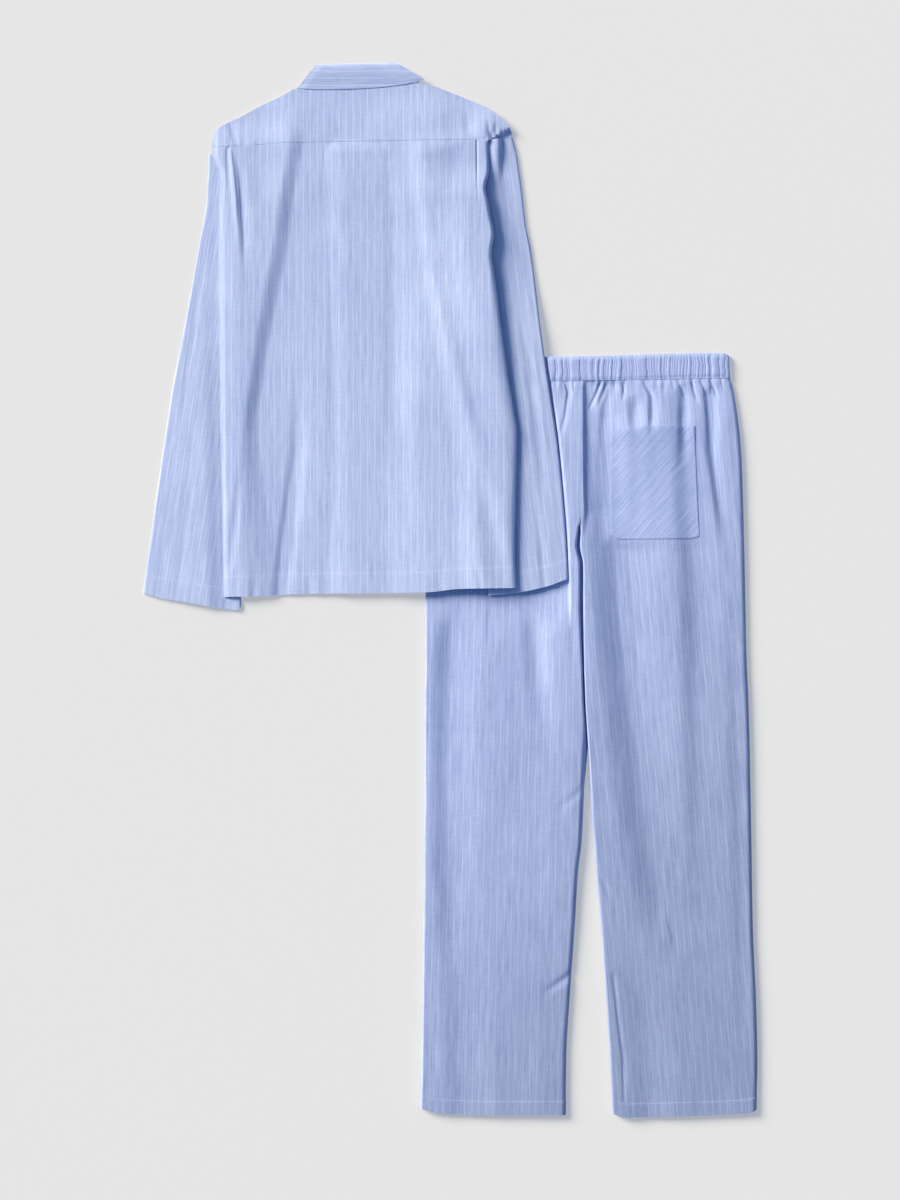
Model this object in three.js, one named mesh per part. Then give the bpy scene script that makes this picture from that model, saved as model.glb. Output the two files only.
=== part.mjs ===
import * as THREE from 'three';

// A pyjama set laid out flat, seen from its back: a long-sleeved shirt over a pair of trousers.
// Millimetres. X runs to the right and Y up the layout as seen from above, and Z is the height over
// the surface the set lies on. The origin is on that surface, under the middle of the set.
// Left and right are the wearer's, which are also the viewer's, because the back is seen.

// Driving sizes
const WALL = 1.3; // cloth, with its seam and hem folds averaged in
const BAND_WALL = 1.6; // cloth around the elastic of the waist
const GAP = 0.3; // between pieces at a seam and between pieces that lie on each other
const LAYER = WALL + GAP;
const MOST_HOLLOW = 3.6; // air between the two layers of a garment
const PRESSED_HOLLOW = 0.4; // the same where something lies on it
const ROUNDING = 16; // how far in from a side fold the cloth keeps rising
const HIDDEN_SLACK = 0.7; // spare height where one garment lies on another
const BUTTON_RADIUS = 6;
const BUTTON_THICK = 2;
const BUTTON_PITCH = 108;
const BUTTON_COUNT = 5;
const HIGHEST_BUTTON = 527;
const PLACKET_HALF = 15;

const COLOURS = {
  cloth: 0xa9b9e4,
  trouserCloth: 0x9fafdc,
  pocketCloth: 0xa2b1dc,
  collarCloth: 0xb3c2e8,
  button: 0xdfe3ea,
};

// Small tools
const clamp = (value, least, most) => Math.min(most, Math.max(least, value));
const mix = (from, to, share) => from + (to - from) * share;
const ease = (value) => {
  const share = clamp(value, 0, 1);
  return share * share * (3 - 2 * share);
};

/** A smooth line through a table's rows that never overshoots them: a value of `along` gives `column`. */
function curve(rows, along, column) {
  const points = rows.map((row) => [row[along], row[column]]).sort((a, b) => a[0] - b[0]);
  const last = points.length - 1;
  const rises = points.slice(1).map((point, i) => (point[1] - points[i][1]) / (point[0] - points[i][0]));
  const slopes = points.map((point, i) => {
    if (i === 0) return rises[0];
    if (i === last) return rises[last - 1];
    if (rises[i - 1] * rises[i] <= 0) return 0;
    return (2 * rises[i - 1] * rises[i]) / (rises[i - 1] + rises[i]);
  });
  return (value) => {
    if (value <= points[0][0]) return points[0][1];
    if (value >= points[last][0]) return points[last][1];
    let i = 0;
    while (value > points[i + 1][0]) i += 1;
    const width = points[i + 1][0] - points[i][0];
    const share = (value - points[i][0]) / width;
    const bend = share * (1 - share) * width;
    return mix(points[i][1], points[i + 1][1], ease(share))
      + bend * ((1 - share) * slopes[i] - share * slopes[i + 1]);
  };
}

/** A piece as laid out: the x of its two sides at each height, and its top and bottom edges. */
function outline({ sides, top, bottom }) {
  const left = curve(sides, 'y', 'left');
  const right = curve(sides, 'y', 'right');
  const topLine = curve(top, 'x', 'y');
  const bottomLine = curve(bottom, 'x', 'y');
  const edge = (rows, line) => {
    const level = rows.reduce((sum, row) => sum + row.y, 0) / rows.length;
    return (across) => line(mix(left(level), right(level), across));
  };
  const toSide = (x, y) => Math.min(x - left(y), right(y) - x);
  const toEnd = (x, y) => Math.min(topLine(x) - y, y - bottomLine(x));
  return { left, right, top: edge(top, topLine), bottom: edge(bottom, bottomLine), toSide, toEnd };
}

/** 1 on a piece and a margin around it, easing to 0 over a width past its sides and past its ends. */
function cover(piece, margin, sideWidth, endWidth) {
  return (x, y) => {
    const beside = ease((piece.toSide(x, y) + margin + sideWidth) / sideWidth);
    const beyond = ease((piece.toEnd(x, y) + margin + endWidth) / endWidth);
    return beside * beyond;
  };
}

/** How deep the strongest of some folds is at a place. A fold's line runs down the cloth. */
function foldDepth(folds, x, y) {
  let strongest = 0;
  for (const { left, right, line } of folds) {
    for (let i = 0; i + 1 < line.length; i += 1) {
      const from = line[i];
      const runX = line[i + 1].x - from.x;
      const runY = line[i + 1].y - from.y;
      const along = ((x - from.x) * runX + (y - from.y) * runY) / (runX * runX + runY * runY);
      const share = clamp(along, 0, 1);
      const offX = x - from.x - runX * share;
      const offY = y - from.y - runY * share;
      const width = runX * offY - runY * offX > 0 ? right : left;
      const deep = mix(from.deep, line[i + 1].deep, share) * (1 - ease(Math.hypot(offX, offY) / width));
      if (Math.abs(deep) > Math.abs(strongest)) strongest = deep;
    }
  }
  return strongest;
}

/** 0 at a side fold, rising in a round to 1 further in. */
const roundedIn = (distance) => 1 - (1 - clamp(distance / ROUNDING, 0, 1)) ** 2;

// Walls
/** A closed wall over a grid of columns and rows; `place` gives a grid point's x, y and underside. */
function wallGeometry(columns, rows, place, wall) {
  const points = [];
  const faces = [];
  const lastColumn = columns.length - 1;
  const lastRow = rows.length - 1;
  for (const rise of [0, wall]) {
    for (const down of rows) {
      for (const across of columns) {
        const [x, y, z] = place(across, down);
        points.push(x, y, z + rise);
      }
    }
  }
  const under = (row, column) => row * columns.length + column;
  const over = (row, column) => under(row, column) + rows.length * columns.length;
  const quad = (a, b, c, d) => faces.push(a, b, c, a, c, d);
  for (let row = 0; row < lastRow; row += 1) {
    const next = row + 1;
    for (let column = 0; column < lastColumn; column += 1) {
      quad(over(row, column), over(next, column), over(next, column + 1), over(row, column + 1));
      quad(under(row, column), under(row, column + 1), under(next, column + 1), under(next, column));
    }
    quad(under(row, 0), under(next, 0), over(next, 0), over(row, 0));
    quad(over(row, lastColumn), over(next, lastColumn), under(next, lastColumn), under(row, lastColumn));
  }
  for (let column = 0; column < lastColumn; column += 1) {
    const next = column + 1;
    quad(under(0, column), over(0, column), over(0, next), under(0, next));
    quad(under(lastRow, next), over(lastRow, next), over(lastRow, column), under(lastRow, column));
  }
  return geometry(points, faces);
}

/** A flattened tube open at both ends; `ring` gives the outer and inner loops of one row, in step. */
function tubeGeometry(rows, ring) {
  const points = [];
  const faces = [];
  const loops = rows.map((down) => ring(down));
  const around = loops[0].outer.length;
  for (const { outer, inner } of loops) {
    for (const point of [...outer, ...inner]) points.push(...point);
  }
  const at = (row, inside, step) => (row * 2 + inside) * around + (step % around);
  const quad = (a, b, c, d) => faces.push(a, b, c, a, c, d);
  const lastRow = rows.length - 1;
  for (let step = 0; step < around; step += 1) {
    for (let row = 0; row < lastRow; row += 1) {
      quad(at(row, 0, step), at(row, 0, step + 1), at(row + 1, 0, step + 1), at(row + 1, 0, step));
      quad(at(row, 1, step), at(row + 1, 1, step), at(row + 1, 1, step + 1), at(row, 1, step + 1));
    }
    quad(at(0, 0, step), at(0, 1, step), at(0, 1, step + 1), at(0, 0, step + 1));
    quad(at(lastRow, 0, step), at(lastRow, 0, step + 1), at(lastRow, 1, step + 1), at(lastRow, 1, step));
  }
  return geometry(points, faces);
}

function geometry(points, faces) {
  const made = new THREE.BufferGeometry();
  made.setAttribute('position', new THREE.Float32BufferAttribute(points, 3));
  made.setIndex(faces);
  made.computeVertexNormals();
  return made;
}

/** A panel of cloth over its outline; `under` gives the height of its underside. */
function panelGeometry(piece, columns, rows, under, wall = WALL) {
  const place = (across, down) => {
    const y = mix(piece.top(across), piece.bottom(across), down);
    const x = mix(piece.left(y), piece.right(y), across);
    return [x, y, under(x, y)];
  };
  return wallGeometry(columns, rows, place, wall);
}

/** A flattened tube over an outline: `base` is its underside and `hollow` the air inside it. */
function flatTubeGeometry(piece, lower, upper, rows, base, hollow, wall) {
  const corner = wall / 2;
  const ring = (down) => {
    const loops = { outer: [], inner: [] };
    const put = (across, isUpper) => {
      const y = mix(piece.top(across), piece.bottom(across), down);
      const x = mix(piece.left(y), piece.right(y), across);
      const innerX = mix(piece.left(y) + wall, piece.right(y) - wall, across);
      const atFold = across === 0 || across === 1 ? corner : 0;
      const floor = base(x, y);
      const air = hollow(x, y);
      const outerZ = isUpper ? floor + 2 * wall + air - atFold : floor + atFold;
      const innerZ = isUpper ? floor + wall + air : floor + wall;
      loops.outer.push([x, y, outerZ]);
      loops.inner.push([innerX, y, innerZ]);
    };
    lower.forEach((across) => put(across, false));
    [...upper].reverse().forEach((across) => put(across, true));
    return loops;
  };
  return tubeGeometry(rows, ring);
}

/** Shares from 0 to 1 in equal steps. */
const even = (steps) => Array.from({ length: steps + 1 }, (_, i) => i / steps);
/** Shares from 0 to 1, closer together near both ends, for cloth that turns over at its sides. */
const CROWDING = 0.55 / (2 * Math.PI);
const closerAtSides = (steps) => even(steps).map((share) => share - CROWDING * Math.sin(2 * Math.PI * share));

// Trouser outlines
const CENTRE_BACK = 183;
const WAIST_LEFT = -27;
const WAIST_RIGHT = 391.6;
const WAIST_SEAM_RISE = 0.0163; // the seam climbs a little to the right
const BAND_HEIGHT = 33;
const waistSeam = (x) => 292.6 + (x - CENTRE_BACK) * WAIST_SEAM_RISE;
const seamRow = (x, raised = 0) => ({ x, y: waistSeam(x) + raised });

const LEFT_LEG = {
  sides: [
    { y: 293, left: WAIST_LEFT, right: 182.7 },
    { y: 238, left: -32, right: 182.7 },
    { y: 196, left: -35, right: 182.7 },
    { y: 115, left: -35, right: 182.4 },
    { y: 84, left: -35, right: 178 },
    { y: 42, left: -34, right: 178 },
    { y: -14, left: -34, right: 179.9 },
    { y: -154, left: -35, right: 182.7 },
    { y: -210, left: -35, right: 184.5 },
    { y: -350, left: -36, right: 184.1 },
    { y: -392, left: -36, right: 179.2 },
    { y: -469, left: -37, right: 174.3 },
    { y: -567, left: -38, right: 167.4 },
    { y: -655, left: -39, right: 162.4 },
    { y: -734, left: -41, right: 161.7 },
  ],
  top: [seamRow(WAIST_LEFT), seamRow(CENTRE_BACK)],
  bottom: [{ x: -41, y: -725 }, { x: -26, y: -729.4 }, { x: 32, y: -733.6 }, { x: 162, y: -734 }],
};

const RIGHT_LEG = {
  sides: [
    { y: 294, left: 183, right: WAIST_RIGHT },
    { y: 285.6, left: 183, right: 394.8 },
    { y: 259, left: 183, right: 399.7 },
    { y: 213, left: 183, right: 405.6 },
    { y: 174, left: 183, right: 408.2 },
    { y: 84, left: 183.2, right: 410.9 },
    { y: 14, left: 187.6, right: 412.6 },
    { y: -98, left: 187, right: 414.8 },
    { y: -154, left: 186.4, right: 417.2 },
    { y: -210, left: 193.2, right: 418.8 },
    { y: -350, left: 201.3, right: 421.4 },
    { y: -469, left: 211.4, right: 423.4 },
    { y: -588, left: 219.8, right: 428.4 },
    { y: -655, left: 224, right: 429.8 },
    { y: -733, left: 227.8, right: 428.2 },
  ],
  top: [seamRow(CENTRE_BACK), seamRow(WAIST_RIGHT)],
  bottom: [
    { x: 228, y: -731.6 },
    { x: 242, y: -737.2 },
    { x: 337, y: -735 },
    { x: 419, y: -731 },
    { x: 428.4, y: -726.6 },
  ],
};

const WAISTBAND = {
  sides: [
    { y: 331, left: -26, right: 389.4 },
    { y: 326, left: WAIST_LEFT, right: 390.6 },
    { y: 290, left: WAIST_LEFT, right: WAIST_RIGHT },
  ],
  top: [
    { x: -27, y: 324.8 },
    { x: 183, y: 326.6 },
    { x: 350, y: 331 },
    { x: 382, y: 331.2 },
    { x: 390, y: 328 },
  ],
  bottom: [seamRow(WAIST_LEFT, GAP), seamRow(WAIST_RIGHT, GAP)],
};

const TROUSERS = {
  sides: LEFT_LEG.sides.map((row, i) => ({ y: row.y, left: row.left, right: RIGHT_LEG.sides[i].right })),
  top: [{ x: WAIST_LEFT, y: 331 }, { x: WAIST_RIGHT, y: 331 }],
  bottom: [{ x: WAIST_LEFT, y: -740 }, { x: WAIST_RIGHT, y: -740 }],
};

// Shirt outlines
const YOKE_SEAM = [
  { x: -334, y: 618.6 },
  { x: -294, y: 620.2 },
  { x: -216, y: 625.1 },
  { x: -70, y: 627.2 },
  { x: 28, y: 628.8 },
  { x: 53, y: 629 },
];
const SHIRT_BACK = {
  sides: [
    { y: 629, left: -331.8, right: 53.4 },
    { y: 609, left: -332.2, right: 54 },
    { y: 597, left: -328, right: 54.6 },
    { y: 585, left: -323.4, right: 54.2 },
    { y: 561, left: -323.4, right: 49 },
    { y: 541, left: -323.8, right: 53 },
    { y: 522, left: -324, right: 56 },
    { y: 497, left: -324, right: 60.9 },
    { y: 470, left: -324.1, right: 57.6 },
    { y: 438, left: -324.1, right: 62 },
    { y: 364, left: -323.4, right: 71.4 },
    { y: 300, left: -322.4, right: 80.6 },
    { y: 255, left: -322, right: 88.2 },
    { y: 218, left: -321.4, right: 93.5 },
    { y: 132, left: -319.4, right: 91.6 },
    { y: 53, left: -318, right: 90.4 },
    { y: -9, left: -316.4, right: 92.4 },
  ],
  top: YOKE_SEAM,
  bottom: [
    { x: -316, y: -9.8 },
    { x: -263, y: -8.4 },
    { x: -210, y: -5.6 },
    { x: -36, y: -3.5 },
    { x: 14, y: 1.4 },
    { x: 92, y: 2.8 },
  ],
};

const NECK_SEAM = 709;
const LEFT_SHOULDER = [
  { x: -331.8, y: 629 },
  { x: -327.6, y: 641.2 },
  { x: -315, y: 651 },
  { x: -294, y: 660.8 },
  { x: -266, y: 676.2 },
  { x: -238, y: 688.8 },
  { x: -213, y: 701.6 },
];
const RIGHT_SHOULDER = [
  { x: -20, y: 703 },
  { x: 0, y: 695.8 },
  { x: 28, y: 684.6 },
  { x: 56, y: 672 },
  { x: 70, y: 660.8 },
  { x: 81.2, y: 648.2 },
];
const YOKE = {
  sides: [
    { y: 709, left: -333, right: 87.3 },
    { y: 618, left: -333, right: 87.3 },
  ],
  top: [
    { x: -333, y: 623 },
    ...LEFT_SHOULDER,
    { x: -196, y: NECK_SEAM },
    { x: -50, y: NECK_SEAM },
    ...RIGHT_SHOULDER,
    { x: 86.2, y: 640 },
    { x: 87.3, y: 636.6 },
  ],
  bottom: [...YOKE_SEAM, { x: 87.3, y: 634 }].map(({ x, y }) => ({ x, y: y + GAP })),
};

// The fronts, hidden under the back, meet at the button strip.
const CENTRE_FRONT_TOP = -121;
const CENTRE_FRONT_HEM = -112;
const FRONT_NECK_DEPTH = 615;
const LEFT_NECKLINE = [
  { x: -207, y: 688 },
  { x: -194, y: 664 },
  { x: -172, y: 640 },
  { x: -142, y: 622 },
  { x: -121, y: FRONT_NECK_DEPTH },
];
const mirrorAtNeck = ({ x, y }) => ({ x: 2 * CENTRE_FRONT_TOP - x, y });
const RIGHT_NECKLINE = LEFT_NECKLINE.map(mirrorAtNeck).reverse();
const bodySides = SHIRT_BACK.sides.slice(1);
const LEFT_FRONT = {
  sides: bodySides.map(({ y, left }) => ({ y, left, right: CENTRE_FRONT_TOP + PLACKET_HALF })),
  top: [...LEFT_SHOULDER, ...LEFT_NECKLINE, { x: -106, y: FRONT_NECK_DEPTH - 2 }],
  bottom: SHIRT_BACK.bottom,
};
const RIGHT_FRONT = {
  sides: [
    { y: 648, left: CENTRE_FRONT_TOP - PLACKET_HALF, right: 80 },
    { y: 636, left: CENTRE_FRONT_TOP - PLACKET_HALF, right: 64 },
    { y: 628, left: CENTRE_FRONT_TOP - PLACKET_HALF, right: 53 },
    ...bodySides.map(({ y, right }) => ({ y, left: CENTRE_FRONT_TOP - PLACKET_HALF, right })),
  ],
  top: [
    { x: CENTRE_FRONT_TOP - PLACKET_HALF, y: FRONT_NECK_DEPTH - 2 },
    ...RIGHT_NECKLINE,
    { x: -29, y: 702 },
    ...RIGHT_SHOULDER.slice(1),
  ],
  bottom: SHIRT_BACK.bottom,
};

// The line where the body steps down from the left sleeve to the surface: it leaves the sleeve's
// level at `from` and is down at `to`.
const SLEEVE_LEDGE = [
  { y: 616, from: -227, to: -207 },
  { y: 546, from: -238, to: -220 },
  { y: 476, from: -248, to: -228 },
  { y: 406, from: -262, to: -242 },
  { y: 350, from: -272, to: -253 },
  { y: 294, from: -280, to: -262 },
  { y: 238, from: -288, to: -270 },
  { y: 154, from: -292, to: -262 },
  { y: 98, from: -294, to: -250 },
  { y: 42, from: -294, to: -238 },
  { y: -14, from: -292, to: -231 },
];
const SLEEVE_INSIDE_LEDGE = 10;
const LEFT_SLEEVE_OUTER = [
  { y: 612, left: -337.4 },
  { y: 588, left: -338.8 },
  { y: 546, left: -341 },
  { y: 515, left: -345.8 },
  { y: 476, left: -352.8 },
  { y: 420, left: -362.6 },
  { y: 336, left: -378 },
  { y: 280, left: -389.2 },
  { y: 224, left: -397.6 },
  { y: 168, left: -406 },
  { y: 98, left: -415.8 },
  { y: 56, left: -421.4 },
  { y: -14, left: -431.4 },
];
const leftSleeveOuter = curve(LEFT_SLEEVE_OUTER, 'y', 'left');
const LEFT_SLEEVE = {
  sides: SLEEVE_LEDGE.map(({ y, from }) => ({
    y,
    left: leftSleeveOuter(y),
    right: from - SLEEVE_INSIDE_LEDGE * ease((y - 20) / 120),
  })),
  top: [{ x: -338, y: 611 }, { x: -326, y: 603 }, { x: -300, y: 598 }, { x: -236, y: 598 }],
  bottom: [
    { x: -430, y: -5 },
    { x: -412, y: -10 },
    { x: -370, y: -17 },
    { x: -322, y: -25.2 },
    { x: -297, y: -28 },
    { x: -291, y: -22 },
  ],
};

const RIGHT_SLEEVE = {
  sides: [
    { y: 634, left: -28, right: 87.5 },
    { y: 609, left: -26, right: 93.8 },
    { y: 591, left: -22, right: 96.6 },
    { y: 560, left: -16, right: 100.8 },
    { y: 511, left: -8, right: 106.4 },
    { y: 476, left: -2, right: 113.4 },
    { y: 364, left: 16, right: 127.4 },
    { y: 266, left: 32, right: 141.4 },
    { y: 210, left: 40, right: 149.8 },
    { y: 126, left: 47, right: 158.2 },
    { y: 70, left: 50, right: 162.4 },
    { y: 15, left: 53, right: 164.6 },
    { y: -8, left: 53.5, right: 165 },
  ],
  top: [{ x: -28, y: 600 }, { x: 0, y: 608 }, { x: 53, y: 627.8 }, { x: 87.5, y: 633.2 }],
  bottom: [{ x: 53, y: -7.7 }, { x: 85, y: -5 }, { x: 133, y: 4.2 }, { x: 163, y: 14.7 }],
};

// The collar: a leaf turned down over a stand, with its front halves underneath
const NECK_LEFT = -210;
const NECK_RIGHT = -33;
const STAND_HEIGHT = 28;
const COLLAR_LEAF = {
  sides: [
    { y: 737.4, left: -187, right: -75 },
    { y: 735.4, left: -195, right: -62 },
    { y: 724, left: -202, right: -46 },
    { y: 716, left: -206, right: -38 },
    { y: 701, left: -214.2, right: -27 },
  ],
  top: [
    { x: -200, y: 734 },
    { x: -186, y: 736.6 },
    { x: -150, y: 737.7 },
    { x: -70, y: 737.7 },
    { x: -52, y: 731 },
    { x: -44, y: 726 },
  ],
  bottom: [
    { x: -214, y: 701.4 },
    { x: -182, y: 699.4 },
    { x: -154, y: 699.4 },
    { x: -70, y: 702.8 },
    { x: -27, y: 709.6 },
  ],
};
const STAND_BACK = {
  sides: [
    { y: 731, left: -190, right: -66 },
    { y: NECK_SEAM, left: NECK_LEFT, right: NECK_RIGHT },
  ],
  top: [{ x: -190, y: 729 }, { x: -128, y: 731 }, { x: -66, y: 726 }],
  bottom: [{ x: NECK_LEFT, y: NECK_SEAM + GAP }, { x: NECK_RIGHT, y: NECK_SEAM + GAP }],
};
const neckCurve = [
  { x: NECK_LEFT, y: 700 },
  ...LEFT_NECKLINE,
  ...RIGHT_NECKLINE.slice(1),
  { x: NECK_RIGHT + 1, y: 700 },
];
const STAND_FRONT = {
  sides: [{ y: 730, left: NECK_LEFT, right: NECK_RIGHT }, { y: 600, left: NECK_LEFT, right: NECK_RIGHT }],
  top: neckCurve.map(({ x, y }) => ({ x, y: Math.min(y + STAND_HEIGHT, 722) })),
  bottom: neckCurve.map(({ x, y }) => ({ x, y: y - 4 })),
};
const LEFT_COLLAR_POINT = {
  sides: [{ y: 730, left: NECK_LEFT + 4, right: -121.5 }, { y: 590, left: NECK_LEFT + 4, right: -121.5 }],
  top: [{ x: -206, y: 718 }, { x: -180, y: 698 }, { x: -150, y: 664 }, { x: -121, y: 642 }],
  bottom: [
    { x: -206, y: 690 },
    { x: -180, y: 640 },
    { x: -170, y: 598 },
    { x: -150, y: 604 },
    { x: -121, y: 616 },
  ],
};
const RIGHT_COLLAR_POINT = {
  sides: LEFT_COLLAR_POINT.sides.map(({ y }) => ({ y, left: -120.5, right: NECK_RIGHT - 3 })),
  top: LEFT_COLLAR_POINT.top.map(mirrorAtNeck),
  bottom: LEFT_COLLAR_POINT.bottom.map(mirrorAtNeck),
};

const BACK_POCKET = {
  sides: [
    { y: 229, left: 224.6, right: 341.4 },
    { y: 150, left: 224.5, right: 344.6 },
    { y: 72, left: 224.6, right: 348.2 },
  ],
  top: [{ x: 224.6, y: 224.8 }, { x: 252, y: 225.4 }, { x: 270, y: 229.2 }, { x: 342, y: 229.7 }],
  bottom: [{ x: 224.6, y: 76 }, { x: 237, y: 71.4 }, { x: 335, y: 72 }, { x: 348, y: 75 }],
};

// Folds
const TROUSER_FOLDS = [
  { // the long trough that leaves the seat seam and runs down the right leg
    left: 16,
    right: 26,
    line: [
      { x: 189, y: 290, deep: 0.6 },
      { x: 193, y: 210, deep: 2 },
      { x: 197, y: 110, deep: 2.2 },
      { x: 208, y: 30, deep: 2.4 },
      { x: 216, y: -30, deep: 2.6 },
      { x: 233, y: -126, deep: 2.6 },
      { x: 252, y: -238, deep: 2.4 },
      { x: 269, y: -364, deep: 2 },
      { x: 286, y: -470, deep: 0 },
    ],
  },
  { // down from the right hip
    left: 12,
    right: 16,
    line: [
      { x: 353, y: 240, deep: 0.8 },
      { x: 363, y: 190, deep: 1.4 },
      { x: 371, y: 126, deep: 1.4 },
      { x: 382, y: 30, deep: 0 },
    ],
  },
  { // broad hollow in the right thigh
    left: 30,
    right: 40,
    line: [
      { x: 334, y: 10, deep: 0 },
      { x: 340, y: -100, deep: 1 },
      { x: 345, y: -260, deep: 1.1 },
      { x: 352, y: -460, deep: 0.8 },
      { x: 356, y: -600, deep: 0 },
    ],
  },
  { // down the middle of the left leg
    left: 18,
    right: 22,
    line: [
      { x: -2, y: 20, deep: 0.4 },
      { x: -3, y: -80, deep: 1.4 },
      { x: -4, y: -300, deep: 1.5 },
      { x: 0, y: -570, deep: 1.4 },
      { x: 1, y: -730, deep: 1 },
    ],
  },
  { // short hollow below the shirt's hem
    left: 14,
    right: 16,
    line: [
      { x: 112, y: 10, deep: 0.8 },
      { x: 112, y: -70, deep: 1.6 },
      { x: 110, y: -150, deep: 0 },
    ],
  },
  { // ripple at the left leg's inner edge
    left: 12,
    right: 12,
    line: [
      { x: 150, y: -516, deep: 0 },
      { x: 162, y: -532, deep: 1.4 },
      { x: 175, y: -552, deep: 0.6 },
    ],
  },
];

// Gathers under the waist seam: where each starts, how far it drifts as it runs down, and its depth
const LEFT_GATHERS = [
  { x: -4, drift: 2, length: 40, deep: 1.2 },
  { x: 20, drift: 2, length: 46, deep: 1.4 },
  { x: 44, drift: 0, length: 38, deep: 1.3 },
  { x: 68, drift: -2, length: 44, deep: 1.5 },
  { x: 92, drift: 2, length: 40, deep: 1.2 },
  { x: 116, drift: 4, length: 44, deep: 1.4 },
  { x: 138, drift: 3, length: 42, deep: 1.4 },
  { x: 160, drift: 7, length: 40, deep: 1.6 },
];
const RIGHT_GATHERS = [
  { x: 206, drift: -8, length: 50, deep: 1.7 },
  { x: 220, drift: -5, length: 36, deep: 1.4 },
  { x: 241, drift: 0, length: 40, deep: 1.7 },
  { x: 269, drift: 10, length: 60, deep: 2 },
  { x: 297, drift: 3, length: 50, deep: 1.4 },
  { x: 319, drift: 5, length: 60, deep: 1.8 },
  { x: 338, drift: 4, length: 40, deep: 1.3 },
  { x: 352, drift: 8, length: 60, deep: 1.8 },
  { x: 367, drift: 4, length: 36, deep: 1.3 },
];

const SHIRT_FOLDS = [
  { // beside the left sleeve, running to the hem
    left: 14,
    right: 20,
    line: [
      { x: -214, y: 320, deep: 0 },
      { x: -214, y: 200, deep: 1.2 },
      { x: -222, y: 126, deep: 1.5 },
      { x: -231, y: 56, deep: 1.4 },
      { x: -238, y: -10, deep: 1.2 },
    ],
  },
  { // shallow groove over the left sleeve
    left: 9,
    right: 11,
    line: [
      { x: -292, y: 180, deep: 0 },
      { x: -300, y: 100, deep: 1 },
      { x: -309, y: 36, deep: 1 },
    ],
  },
  { // down from the right shoulder
    left: 18,
    right: 24,
    line: [
      { x: -36, y: 590, deep: 0 },
      { x: -33, y: 530, deep: 1 },
      { x: -24, y: 450, deep: 1.3 },
      { x: -6, y: 360, deep: 1.3 },
      { x: 20, y: 270, deep: 1.2 },
      { x: 44, y: 215, deep: 0 },
    ],
  },
  { // over the trousers to the right hem
    left: 18,
    right: 22,
    line: [
      { x: -22, y: 280, deep: 0 },
      { x: 0, y: 182, deep: 1.2 },
      { x: 28, y: 126, deep: 1.3 },
      { x: 54, y: 70, deep: 1.2 },
      { x: 68, y: 4, deep: 0.9 },
    ],
  },
  { // left shoulder pleat, inner crease
    left: 7,
    right: 5,
    line: [
      { x: -312, y: 619, deep: 1.4 },
      { x: -313, y: 588, deep: 1.3 },
      { x: -314, y: 545, deep: 0 },
    ],
  },
  { // left shoulder pleat, its folded edge
    left: 6,
    right: 6,
    line: [
      { x: -304, y: 619, deep: -1.5 },
      { x: -303, y: 580, deep: -1.5 },
      { x: -299, y: 538, deep: -1.1 },
      { x: -294, y: 480, deep: 0 },
    ],
  },
  { // left shoulder pleat, outer crease
    left: 5,
    right: 12,
    line: [
      { x: -294, y: 619, deep: 1.2 },
      { x: -293, y: 560, deep: 1.2 },
      { x: -288, y: 480, deep: 0 },
    ],
  },
  { // right shoulder pleat
    left: 5,
    right: 5,
    line: [
      { x: 36, y: 628, deep: 1.7 },
      { x: 36, y: 580, deep: 1.5 },
      { x: 36, y: 530, deep: 0 },
    ],
  },
  { // dent in the yoke over the left shoulder
    left: 8,
    right: 8,
    line: [
      { x: -308, y: 648, deep: 0.4 },
      { x: -305, y: 634, deep: 1.2 },
      { x: -296, y: 620, deep: 0.6 },
    ],
  },
  { // dent in the yoke by the right armhole
    left: 8,
    right: 8,
    line: [
      { x: 14, y: 656, deep: 0 },
      { x: 30, y: 643, deep: 1 },
      { x: 56, y: 634, deep: 1.2 },
    ],
  },
];

// How one garment lifts another
const trousers = outline(TROUSERS);
const waistband = outline(WAISTBAND);
const leftSleeve = outline(LEFT_SLEEVE);
const rightSleeve = outline(RIGHT_SLEEVE);
const shirtBack = outline(SHIRT_BACK);
const yoke = outline(YOKE);
const ledgeFrom = curve(SLEEVE_LEDGE, 'y', 'from');
const ledgeTo = curve(SLEEVE_LEDGE, 'y', 'to');

const PRESSED_SLEEVE = 2 * WALL + PRESSED_HOLLOW + GAP + HIDDEN_SLACK;
const PRESSED_TROUSERS = 2 * WALL + GAP + PRESSED_HOLLOW + GAP + HIDDEN_SLACK;
const GATHER_RISE = 1;
const PRESSED_BAND = 2 * BAND_WALL + PRESSED_HOLLOW + GATHER_RISE + GAP + HIDDEN_SLACK;
const SLEEVE_FADE = 40; // how far past a sleeve's top the cloth over it takes to come down

const trousersUnder = cover(trousers, 8, 50, 120);
const bandUnder = cover(waistband, 12, 50, 110);
const rightSleeveUnder = cover(rightSleeve, 7, 36, SLEEVE_FADE);

/** How far the trousers lift what lies on them. */
const trouserRise = (x, y) => PRESSED_TROUSERS * trousersUnder(x, y)
  + (PRESSED_BAND - PRESSED_TROUSERS) * bandUnder(x, y);

/** How far the left sleeve lifts the shirt's body, its edge moved towards the sleeve by a shift. */
function leftSleeveRise(x, y, shift) {
  const down = ease((x + shift - ledgeFrom(y)) / (ledgeTo(y) - ledgeFrom(y)));
  const above = ease((leftSleeve.top(0) + 10 + SLEEVE_FADE - y) / SLEEVE_FADE);
  return PRESSED_SLEEVE * (1 - down) * above;
}

const rightSleeveRise = (x, y) => PRESSED_SLEEVE * rightSleeveUnder(x, y);

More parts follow.
